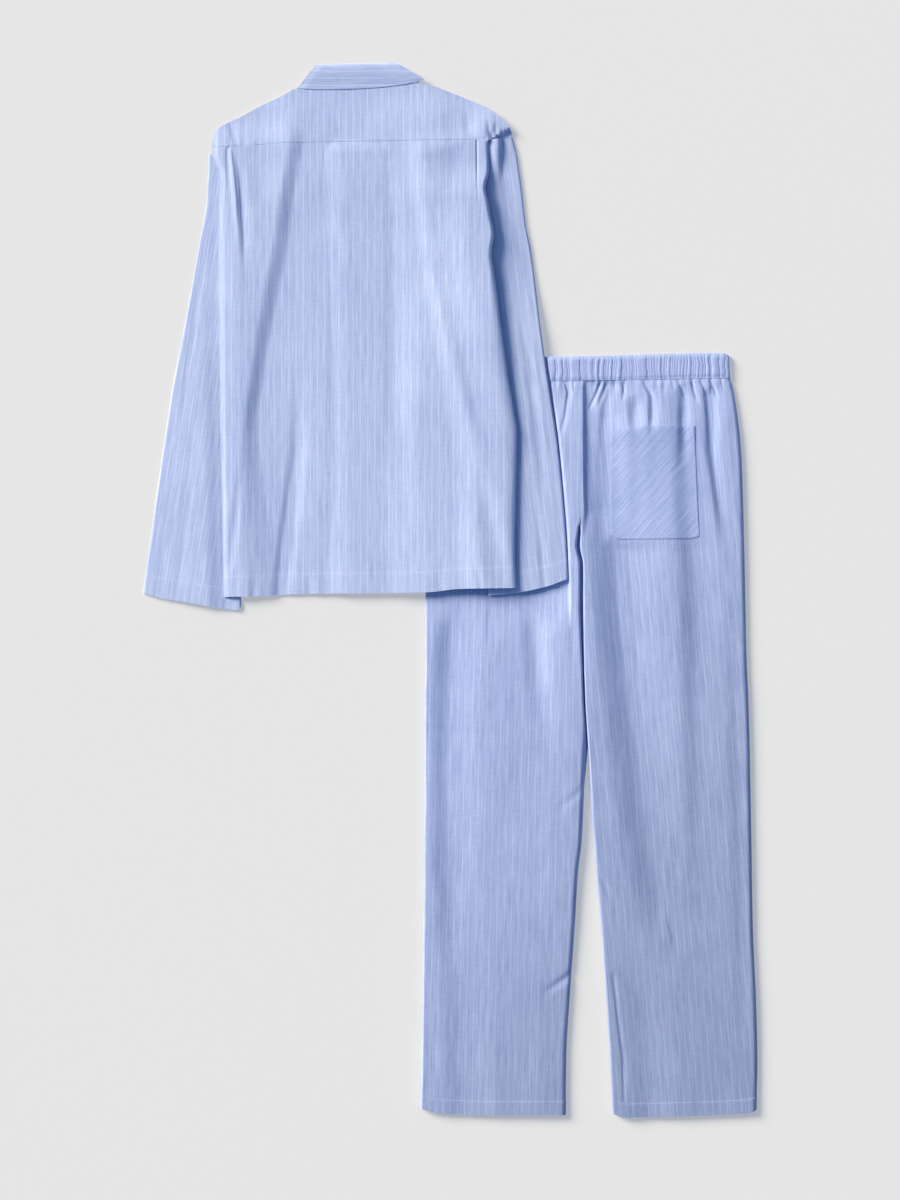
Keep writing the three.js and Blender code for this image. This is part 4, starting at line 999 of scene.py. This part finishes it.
def tube_mesh(name, middle, thick, uv, material):
    """A closed shell about rings of points, open at both ends of the tube."""
    around = np.roll(middle, -1, axis=1) - np.roll(middle, 1, axis=1)
    normals = unit(np.cross(around, np.gradient(middle, axis=0)))
    rows, steps = middle.shape[:2]
    out = np.arange(rows * steps).reshape(rows, steps)
    within = out + rows * steps
    out_next = np.roll(out, -1, axis=1)
    within_next = np.roll(within, -1, axis=1)
    faces = np.concatenate([
        quads(out[:-1], out_next[:-1], out_next[1:], out[1:]),
        quads(within[:-1], within[1:], within_next[1:], within_next[:-1]),
        quads(out[0], within[0], within_next[0], out_next[0]),
        quads(out[-1], out_next[-1], within_next[-1], within[-1]),
    ])
    return shell_mesh(name, shell_points(middle, normals, thick), faces, uv, material)


CROWDING = 0.5 / (2 * math.pi)


def shares(length, step):
    """Shares from 0 to 1 about a step apart, closer near both ends, where cloth turns over."""
    count = max(4, round(length / step))
    share = np.linspace(0, 1, count + 1)
    return share - CROWDING * np.sin(2 * math.pi * share)


def cloth_map(x, y, grain):
    """The cloth's own coordinates. `grain` is how far its stripes lean in x for each y."""
    length = math.hypot(1, grain)
    return joined((x - grain * y) / length, (y + grain * x) / length)


plain_shell = even(SHELL)
HEM_STEP = 3  # over what length a hem's sewn edge steps down


def hemmed(distance, hem):
    """The shell's thickness with a turned-up hem, whose sewn edge makes a small step."""

    def at(x, y):
        return mix(HEM_SHELL, SHELL, ease((distance(x, y) - hem) / HEM_STEP + 0.5))

    return at


def finish_cloth(mesh, node, area):
    piece = show(mesh, mesh.name)
    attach(piece, "root")
    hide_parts(node)


COLUMN = 1.7  # how wide a mesh column is
ROW_STRETCH = 2.3  # rows are this much longer than columns are wide, as most folds run down


def panel(node, piece, height, cloth, rests_on, grain=0, thick=plain_shell, step=COLUMN, cut=None):
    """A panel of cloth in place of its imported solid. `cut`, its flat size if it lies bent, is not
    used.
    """
    material, slot = cloth
    level = (piece.top_level + piece.bottom_level) / 2
    width = float(piece.right(level) - piece.left(level))
    tall = piece.top_level - piece.bottom_level
    across, down = np.meshgrid(shares(width, step), shares(tall, step * ROW_STRETCH))
    x, y = piece.place(across, down)
    middle = joined(x, y, height(x, y))
    uv = grain(x, y) if callable(grain) else cloth_map(x, y, grain)
    mesh = sheet_mesh(f"{node}_cloth", middle, thick(x, y), uv, material)
    finish_cloth(mesh, node, piece.flat_area())


def flat_tube(node, piece, base, hollow, wall, cloth, grain, thick, steps):
    """A flattened tube of cloth: `base` is its underside and `hollow` the air inside it."""
    material, slot = cloth
    across, down = steps
    x, y = piece.place(*np.meshgrid(across, down))
    floor = base(x, y) + wall / 2
    air = hollow(x, y) + wall
    inset = x + wall / 2 * (1 - 2 * across)
    lower = joined(inset, y, floor)
    upper = joined(inset, y, floor + air)[:, ::-1]
    sides = joined(inset, y, floor + air / 2)
    ring = np.concatenate([lower[:, 1:-1], sides[:, -1:], upper[:, 1:-1], sides[:, :1]], axis=1)
    ring_x, ring_y = ring[..., 0], ring[..., 1]
    uv = cloth_map(ring_x, ring_y, grain)
    mesh = tube_mesh(f"{node}_cloth", ring, thick(ring_x, ring_y), uv, material)
    finish_cloth(mesh, node, 2 * piece.flat_area())


# Materials
class Wire:
    """A node's output. Arithmetic on it adds Math nodes, and `add` adds any other node."""

    def __init__(self, tree, socket=None):
        self.tree = tree
        self.socket = socket

    def add(self, kind, settings, values, output=0):
        made = self.tree.nodes.new(kind)
        for name, value in settings.items():
            setattr(made, name, value)
        for key, value in values.items():
            if isinstance(value, Wire):
                self.tree.links.new(value.socket, made.inputs[key])
            else:
                made.inputs[key].default_value = value
        return Wire(self.tree, made.outputs[output] if made.outputs else None)

    def maths(self, operation, *values):
        return self.add("ShaderNodeMath", {"operation": operation}, dict(enumerate(values)))

    def __add__(self, other):
        return self.maths("ADD", self, other)

    def __sub__(self, other):
        return self.maths("SUBTRACT", self, other)

    def __rsub__(self, other):
        return self.maths("SUBTRACT", other, self)

    def __mul__(self, other):
        return self.maths("MULTIPLY", self, other)

    def __truediv__(self, other):
        return self.maths("DIVIDE", self, other)

    __radd__ = __add__
    __rmul__ = __mul__


# Lumps of noise on the cloth: how wide and how long in metres, along its stripes, and how detailed
WARP_SLUBS = (0.0016, 0.045, 3.0)
WEFT_SLUBS = (0.018, 0.0013, 2.0)
BROAD_TONES = (0.11, 0.16, 2.0)
STRIPE_BREAKS = (0.004, 0.005, 2.0)
WRINKLES = (0.012, 0.022, 3.0)
CRUMPLES = (0.035, 0.06, 2.0)
WEAVE = (0.0011, 0.0013, 1.0)
STRIPE_EDGE = (0.35, 1.25)  # where a stripe starts and ends to fade, in millimetres off its line
STRIPE_WHITE = (0.86, 0.9, 0.98, 1)
TONE_SPAN = (0.36, 0.64)  # the noise that gives the darkest and the lightest thread
SHADE_FALLOFF_LEAN = (1.2, -0.75)  # painted shade where the light falls off: it darkens the colour to the right and down the layout
SHADE_FALLOFF_SPAN = (0.1, 0.85)
SHEEN = {"Sheen Weight": 0.05, "Sheen Roughness": 0.45, "Specular IOR Level": 0.15}


def colour_mix(factor, first, second):
    values = {0: factor, 6: first, 7: second}
    return factor.add("ShaderNodeMix", {"data_type": "RGBA"}, values, output=2)


def ramp(value, span, start, end, kind="SMOOTHSTEP"):
    """Start below a span of values and end above it."""
    values = {"Value": value, "From Min": span[0], "From Max": span[1], "To Min": start, "To Max": end}
    return value.add("ShaderNodeMapRange", {"interpolation_type": kind}, values)


def split(vector):
    """The first two parts of a vector."""
    return [vector.add("ShaderNodeSeparateXYZ", {}, {0: vector}, output) for output in (0, 1)]


def noise(place, lumps):
    """Noise about 0.5 over the cloth's own coordinates."""
    wide, long, detail = lumps
    across, along = place
    scaled = across.add("ShaderNodeCombineXYZ", {}, {"X": across / wide, "Y": along / long})
    values = {"Vector": scaled, "Scale": 1.0, "Detail": detail, "Roughness": 0.5}
    return scaled.add("ShaderNodeTexNoise", {"noise_dimensions": "2D"}, values)


def pinstripes(place):
    """White stripes a hair wide, a little broken up by the weave."""
    turn = place[0].maths("FRACT", place[0] / (STRIPE_PITCH * MM))
    off_line = turn.maths("ABSOLUTE", turn - 0.5) * STRIPE_PITCH
    line = ramp(off_line, STRIPE_EDGE, 1.0, 0.0)
    return line * (0.55 + noise(place, STRIPE_BREAKS) * 0.9)


def new_material(name):
    material = bpy.data.materials.new(name)
    material.use_nodes = True
    material.node_tree.nodes.clear()
    return material, Wire(material.node_tree)


def finish_material(wire, values):
    surface = wire.add("ShaderNodeBsdfPrincipled", {}, values)
    wire.add("ShaderNodeOutputMaterial", {}, {"Surface": surface})


def cloth_material(name, dark, light, stripe, falloff_shade=0.0):
    """Yarn-dyed cotton: slubs along both threads, pale pinstripes, a soft nap and a fine weave.

    The last argument is painted shade: how much darker the cloth is drawn towards the lower right of
    the layout, where the light falls off.
    """
    material, wire = new_material(name)
    place = split(wire.add("ShaderNodeUVMap", {"uv_map": "cloth"}, {}))
    warp = noise(place, WARP_SLUBS)
    mixed = warp * 0.62 + noise(place, WEFT_SLUBS) * 0.2 + noise(place, BROAD_TONES) * 0.18
    tone = ramp(mixed, TONE_SPAN, 0.0, 1.0, "LINEAR")
    yarn = colour_mix(tone, (*dark, 1), (*light, 1))
    mask = pinstripes(place)
    striped = colour_mix(mask * stripe, yarn, STRIPE_WHITE)
    right, up = split(wire.add("ShaderNodeTexCoord", {}, {}, output=3))
    # Painted shade for the light's falloff towards the lower right, multiplied into the colour
    shade = ramp(right * SHADE_FALLOFF_LEAN[0] + up * SHADE_FALLOFF_LEAN[1], SHADE_FALLOFF_SPAN, 1.0, 1.0 - falloff_shade)
    coloured = wire.add("ShaderNodeVectorMath", {"operation": "SCALE"}, {0: striped, "Scale": shade})
    folds = noise(place, WRINKLES) * 0.16 + noise(place, CRUMPLES) * 0.34
    relief = noise(place, WEAVE) * 0.05 + warp * 0.05 + mask * 0.03 + folds
    bump = {"Strength": 1.0, "Distance": 1.0, "Height": relief * MM}
    normal = wire.add("ShaderNodeBump", {}, bump)
    rough = 0.78 + tone * 0.12
    finish_material(wire, {"Base Color": coloured, "Roughness": rough, "Normal": normal, **SHEEN})
    return material


def plain_material(name, colour, roughness, variation, scale, glow=0.0):
    """A plain finish whose tone and roughness vary a little over it. `glow` lightens its shadows."""
    material, wire = new_material(name)
    place = wire.add("ShaderNodeTexCoord", {}, {}, output=3)
    lumps = wire.add("ShaderNodeTexNoise", {}, {"Vector": place, "Scale": scale, "Detail": 3.0})
    darker = tuple(part * (1 - variation) for part in colour)
    tone = colour_mix(lumps, (*darker, 1), (*colour, 1))
    rough = roughness + lumps * 0.05
    shown = {"Emission Color": tone, "Emission Strength": glow}
    finish_material(wire, {"Base Color": tone, "Roughness": rough, **shown})
    return material


# Cloth colours: (dark threads, light threads), as linear red, green and blue
SHIRT_COLOURS = ((0.38, 0.465, 0.74), (0.52, 0.6, 0.855))
TROUSER_COLOURS = ((0.328, 0.409, 0.685), (0.455, 0.543, 0.83))
COLLAR_COLOURS = ((0.36, 0.44, 0.71), (0.5, 0.58, 0.84))
POCKET_COLOURS = ((0.315, 0.397, 0.675), (0.445, 0.532, 0.82))


# Stitches
STITCH_SIZES = {"Pitch": 3.1, "Long": 2.3, "Wide": 0.55, "High": 0.35}
STITCH_BALL = {"Segments": 6, "Rings": 4, "Radius": 0.5}
STITCH_SLACK = (0.88, 1.08)  # the least and most of a stitch's length
STITCH_LIFT = 0.1
PATH_STEP = 4


def stitch_tree(thread):
    """Geometry nodes that lay one thread stitch after another along every edge of a mesh."""
    tree = bpy.data.node_groups.new("stitches", "GeometryNodeTree")
    tree.interface.new_socket("Lines", in_out="INPUT", socket_type="NodeSocketGeometry")
    for name in STITCH_SIZES:
        tree.interface.new_socket(name, in_out="INPUT", socket_type="NodeSocketFloat")
    tree.interface.new_socket("Stitches", in_out="OUTPUT", socket_type="NodeSocketGeometry")
    wire = Wire(tree)
    given = tree.nodes.new("NodeGroupInput")
    sizes = {name: Wire(tree, given.outputs[name]) for name in ("Lines", *STITCH_SIZES)}
    line = wire.add("GeometryNodeMeshToCurve", {}, {"Mesh": sizes["Lines"]})
    spaced = {"Curve": line, "Length": sizes["Pitch"]}
    points = wire.add("GeometryNodeResampleCurve", {"mode": "LENGTH"}, spaced)
    ball = wire.add("GeometryNodeMeshUVSphere", {}, STITCH_BALL)
    run = wire.add("GeometryNodeInputTangent", {}, {})
    turn = wire.add("FunctionNodeAlignRotationToVector", {"axis": "X"}, {"Vector": run})
    least, most = STITCH_SLACK
    slack = wire.add("FunctionNodeRandomValue", {}, {2: least, 3: most, "Seed": 7}, output=1)
    size = wire.add("ShaderNodeCombineXYZ", {}, {
        "X": sizes["Long"] * slack,
        "Y": sizes["Wide"],
        "Z": sizes["High"],
    })
    placed = {"Points": points, "Instance": ball, "Rotation": turn, "Scale": size}
    laid = wire.add("GeometryNodeInstanceOnPoints", {}, placed)
    solid = wire.add("GeometryNodeRealizeInstances", {}, {0: laid})
    painted = wire.add("GeometryNodeSetMaterial", {}, {"Geometry": solid, "Material": thread})
    wire.add("NodeGroupOutput", {}, {"Stitches": painted})
    return tree


def seam_path(height, thick, points):
    """A path over a piece of cloth through (x, y) points, a little above it."""
    points = np.array(points, dtype=float)
    reach = np.concatenate([[0], np.cumsum(np.hypot(*np.diff(points, axis=0).T))])
    along = np.linspace(0, reach[-1], max(2, round(reach[-1] / PATH_STEP)) + 1)
    x = np.interp(along, reach, points[:, 0])
    y = np.interp(along, reach, points[:, 1])
    z = height(x, y) + thick(x, y) / 2 + STITCH_LIFT
    return joined(x, y, z)


def beside(line, distance, start, end, count):
    """Points that follow an edge at a distance."""
    return [(x, line(x) + distance) for x in np.linspace(start, end, count)]


def stitches(name, paths, tree):
    """All stitches of a garment as one mesh."""
    points = np.concatenate(paths) * MM
    edges = []
    start = 0
    for path in paths:
        edges.extend((start + i, start + i + 1) for i in range(len(path) - 1))
        start += len(path)
    lines = bpy.data.meshes.new(f"{name}_lines")
    lines.from_pydata(points.tolist(), edges, [])
    guide = show(lines, f"{name}_lines")
    modifier = guide.modifiers.new("stitches", "NODES")
    modifier.node_group = tree
    for item in tree.interface.items_tree:
        if item.name in STITCH_SIZES:
            modifier[item.identifier] = STITCH_SIZES[item.name] * MM
    evaluated = guide.evaluated_get(bpy.context.evaluated_depsgraph_get())
    made = bpy.data.meshes.new_from_object(evaluated)
    guide.modifiers.remove(modifier)
    bpy.data.objects.remove(guide)
    made.name = name
    thread = show(made, name)
    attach(thread, "root")


# The set
def add_camera():
    data = bpy.data.cameras.new("camera")
    data.sensor_fit = "VERTICAL"
    data.sensor_height = SENSOR
    data.lens = SENSOR * CAMERA_DISTANCE / VIEW_HEIGHT
    data.clip_end = VIEW_END
    camera = show(data, "camera")
    camera.location = (0, VIEW_CENTRE_Y * MM, CAMERA_DISTANCE * MM)
    bpy.context.scene.camera = camera


def add_light():
    data = bpy.data.lights.new("window", "SUN")
    data.energy = LIGHT_STRENGTH
    data.angle = math.radians(LIGHT_SPREAD)
    data.color = LIGHT_COLOUR
    tilt = math.radians(90 - LIGHT_ELEVATION)
    show(data, "window").rotation_euler = (0, tilt, math.radians(LIGHT_AZIMUTH))
    world = bpy.data.worlds.new("studio")
    world.use_nodes = True
    sky = world.node_tree.nodes["Background"]
    sky.inputs["Color"].default_value = SKY_COLOUR
    sky.inputs["Strength"].default_value = SKY_STRENGTH
    bpy.context.scene.world = world
    bpy.context.scene.view_settings.view_transform = "Standard"


SQUARE = [(-1, -1), (1, -1), (1, 1), (-1, 1)]


def add_floor():
    mesh = bpy.data.meshes.new("floor")
    reach = FLOOR_REACH * MM
    corners = [(x * reach, y * reach, FLOOR_LEVEL * MM) for x, y in SQUARE]
    mesh.from_pydata(corners, [], [(0, 1, 2, 3)])
    mesh.materials.append(plain_material("floor_paper", **FLOOR_PAPER, glow=FLOOR_GLOW))
    show(mesh, "floor")


# How far the stripes lean in x for each y
LEFT_LEG_LEAN = 0.02
RIGHT_LEG_LEAN = -0.085
BAND_LEAN = -0.02
LEFT_SLEEVE_LEAN = 0.15
RIGHT_SLEEVE_LEAN = -0.12
POCKET_SLANT = math.radians(48)
HIDDEN_LEG_STEP = 8
HIDDEN_FRONT_STEP = 6
SEAM_INSET = 2.4
POCKET_STITCHES = [
    (226.6, 225), (226.6, 77), (238, 73.4), (335, 74), (346, 77), (344.4, 112), (339.6, 227),
]
SEAT_STITCHES = [(CENTRE_BACK + SEAM_INSET, y) for y in np.linspace(288, 118, 20)]
CROTCH_STITCHES = [(181.5, 108), (178, 100), (176, 84)]


def slanted(x, y):
    """The cloth map of the pocket, whose stripes are cut on the slant."""
    over, up = math.cos(POCKET_SLANT), math.sin(POCKET_SLANT)
    return joined(y * over - x * up, x * over + y * up)


def add_trousers(cloth, pocket_cloth):
    """The trousers: two fronts that lie on the surface, two backs, the waistband and the pocket."""
    left_front, left_back = "trouser_front_left", "trouser_back_left"
    right_front, right_back = "trouser_front_right", "trouser_back_right"
    left_thick = hemmed(left_leg.to_bottom, LEG_HEM)
    right_thick = hemmed(right_leg.to_bottom, LEG_HEM)
    hidden = {"cloth": cloth, "rests_on": ["floor"], "step": HIDDEN_LEG_STEP}
    panel(left_front, left_front_cloth, on_surface, grain=LEFT_LEG_LEAN, **hidden)
    panel(right_front, right_leg, on_surface, grain=RIGHT_LEG_LEAN, **hidden)
    panel(left_back, left_leg_cloth, left_back_height, cloth, [left_front], LEFT_LEG_LEAN, left_thick)
    panel(right_back, right_leg_cloth, right_back_height, cloth, [right_front], RIGHT_LEG_LEAN,
          right_thick)
    band_steps = (np.linspace(0, 1, 700), np.linspace(0, 1, 25))
    flat_tube("waistband", waistband, even(0), band_hollow, BAND_WALL, cloth, BAND_LEAN,
              even(BAND_WALL - 0.3), band_steps)
    pocket_thick = hemmed(back_pocket.to_top, POCKET_HEM)
    panel("back_pocket", back_pocket, pocket_height, pocket_cloth, [right_back], slanted,
          pocket_thick, 1.5)
    left_hem = beside(left_leg.bottom_line, LEG_HEM, -37, 159, 30)
    right_hem = beside(right_leg.bottom_line, LEG_HEM, 231, 425, 30)
    pocket_mouth = beside(back_pocket.top_line, -POCKET_HEM, 227, 341, 12)
    return [
        seam_path(left_back_height, left_thick, left_hem),
        seam_path(right_back_height, right_thick, right_hem),
        seam_path(pocket_height, pocket_thick, pocket_mouth),
        seam_path(pocket_height, pocket_thick, POCKET_STITCHES),
        seam_path(right_back_height, plain_shell, SEAT_STITCHES),
        seam_path(left_back_height, plain_shell, CROTCH_STITCHES),
    ]


def add_shirt(cloth):
    """The shirt: sleeves, fronts, back and yoke."""
    left_thick = hemmed(left_sleeve.to_bottom, CUFF_HEM)
    right_thick = hemmed(right_sleeve.to_bottom, CUFF_HEM)
    hem_thick = hemmed(shirt_back.to_bottom, SHIRT_HEM)
    steps = (shares(130, 2.6), shares(640, 4))
    on_floor = even(0)
    flat_tube("sleeve_left", left_sleeve, on_floor, left_sleeve_hollow, WALL, cloth,
              LEFT_SLEEVE_LEAN, left_thick, steps)
    flat_tube("sleeve_right", right_sleeve, trouser_rise, right_sleeve_hollow, WALL, cloth,
              RIGHT_SLEEVE_LEAN, right_thick, steps)
    under_fronts = ["floor", "sleeve_left", "sleeve_right", "trouser_back_left"]
    hidden = {"cloth": cloth, "rests_on": under_fronts, "step": HIDDEN_FRONT_STEP}
    panel("front_left", left_front, front_height(LEFT_STRIP), **hidden)
    panel("front_right", right_front, front_height(RIGHT_STRIP), **hidden)
    fronts = ["front_left", "front_right"]
    panel("shirt_back", back_cloth, back_height, cloth, fronts, thick=hem_thick)
    panel("yoke", yoke, yoke_height, cloth, fronts, step=2.2)
    hem = beside(shirt_back.bottom_line, SHIRT_HEM, -313, 88, 40)
    left_cuff = beside(left_sleeve.bottom_line, CUFF_HEM, -421, -325, 12)
    right_cuff = beside(right_sleeve.bottom_line, CUFF_HEM, 94, 160, 8)
    yoke_seam = beside(yoke.bottom_line, SEAM_INSET, -329, 84, 40)
    return [
        seam_path(back_height, hem_thick, hem),
        seam_path(sleeve_top(on_floor, left_sleeve_hollow), left_thick, left_cuff),
        seam_path(sleeve_top(trouser_rise, right_sleeve_hollow), right_thick, right_cuff),
        seam_path(yoke_height, plain_shell, yoke_seam),
    ]


CROSSWISE = 1e6  # a lean so steep that the stripes lie flat
LEAF_STITCHES = 5  # how far they are from the leaf's edge


def turned(x, y):
    """The cloth map of the collar, whose stripes run along it."""
    return cloth_map(x, y, CROSSWISE)


def add_collar(cloth):
    """The collar: its front points and stand underneath, and its back stand and leaf on top."""
    points = {"collar_point_left": left_collar_point, "collar_point_right": right_collar_point}
    for node, piece in points.items():
        panel(node, piece, on_surface, cloth, ["floor"], turned, step=5)
    cut = (STAND_FRONT_LENGTH * MM, (STAND_HEIGHT + STAND_SEAM) * MM)
    stand, back_stand = "collar_stand_front", "collar_stand_back"
    panel(stand, stand_front, on_points, cloth, list(points), turned, step=4, cut=cut)
    panel(back_stand, stand_back, stand_back_height, cloth, [stand], turned, step=4)
    thick = even(HEM_SHELL)
    panel("collar_leaf", collar_leaf, leaf_height, cloth, ["yoke", back_stand], turned, thick, 1.6)
    edge = beside(collar_leaf.bottom_line, LEAF_STITCHES, -208, -33, 24)
    return [seam_path(leaf_height, thick, edge)]


def finish_buttons(pearl):
    for node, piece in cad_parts.items():
        if node.startswith("button"):
            for place in piece.material_slots:
                place.material = pearl


add_camera()
add_light()
add_floor()
shirt_cotton = cloth_material("shirt_cotton", *SHIRT_COLOURS, stripe=0.2)
# The trousers carry painted shade towards the lower right, standing in for the light's falloff
trouser_cotton = cloth_material("trouser_cotton", *TROUSER_COLOURS, stripe=0.15, falloff_shade=0.27)
collar_cotton = cloth_material("collar_cotton", *COLLAR_COLOURS, stripe=0.22)
pocket_cotton = cloth_material("pocket_cotton", *POCKET_COLOURS, stripe=0.1)
thread = plain_material("pale_thread", (0.72, 0.78, 0.95), 0.6, 0.1, 400.0)
stitching = stitch_tree(thread)
trouser_seams = add_trousers((trouser_cotton, "trouser_cloth"), (pocket_cotton, "trouser_cloth"))
shirt_seams = add_shirt((shirt_cotton, "shirt_cloth"))
collar_seams = add_collar((collar_cotton, "collar_cloth"))
stitches("trouser_stitches", trouser_seams, stitching)
stitches("shirt_stitches", shirt_seams + collar_seams, stitching)
finish_buttons(plain_material("pearl_plastic", (0.8, 0.82, 0.86), 0.28, 0.12, 160.0))
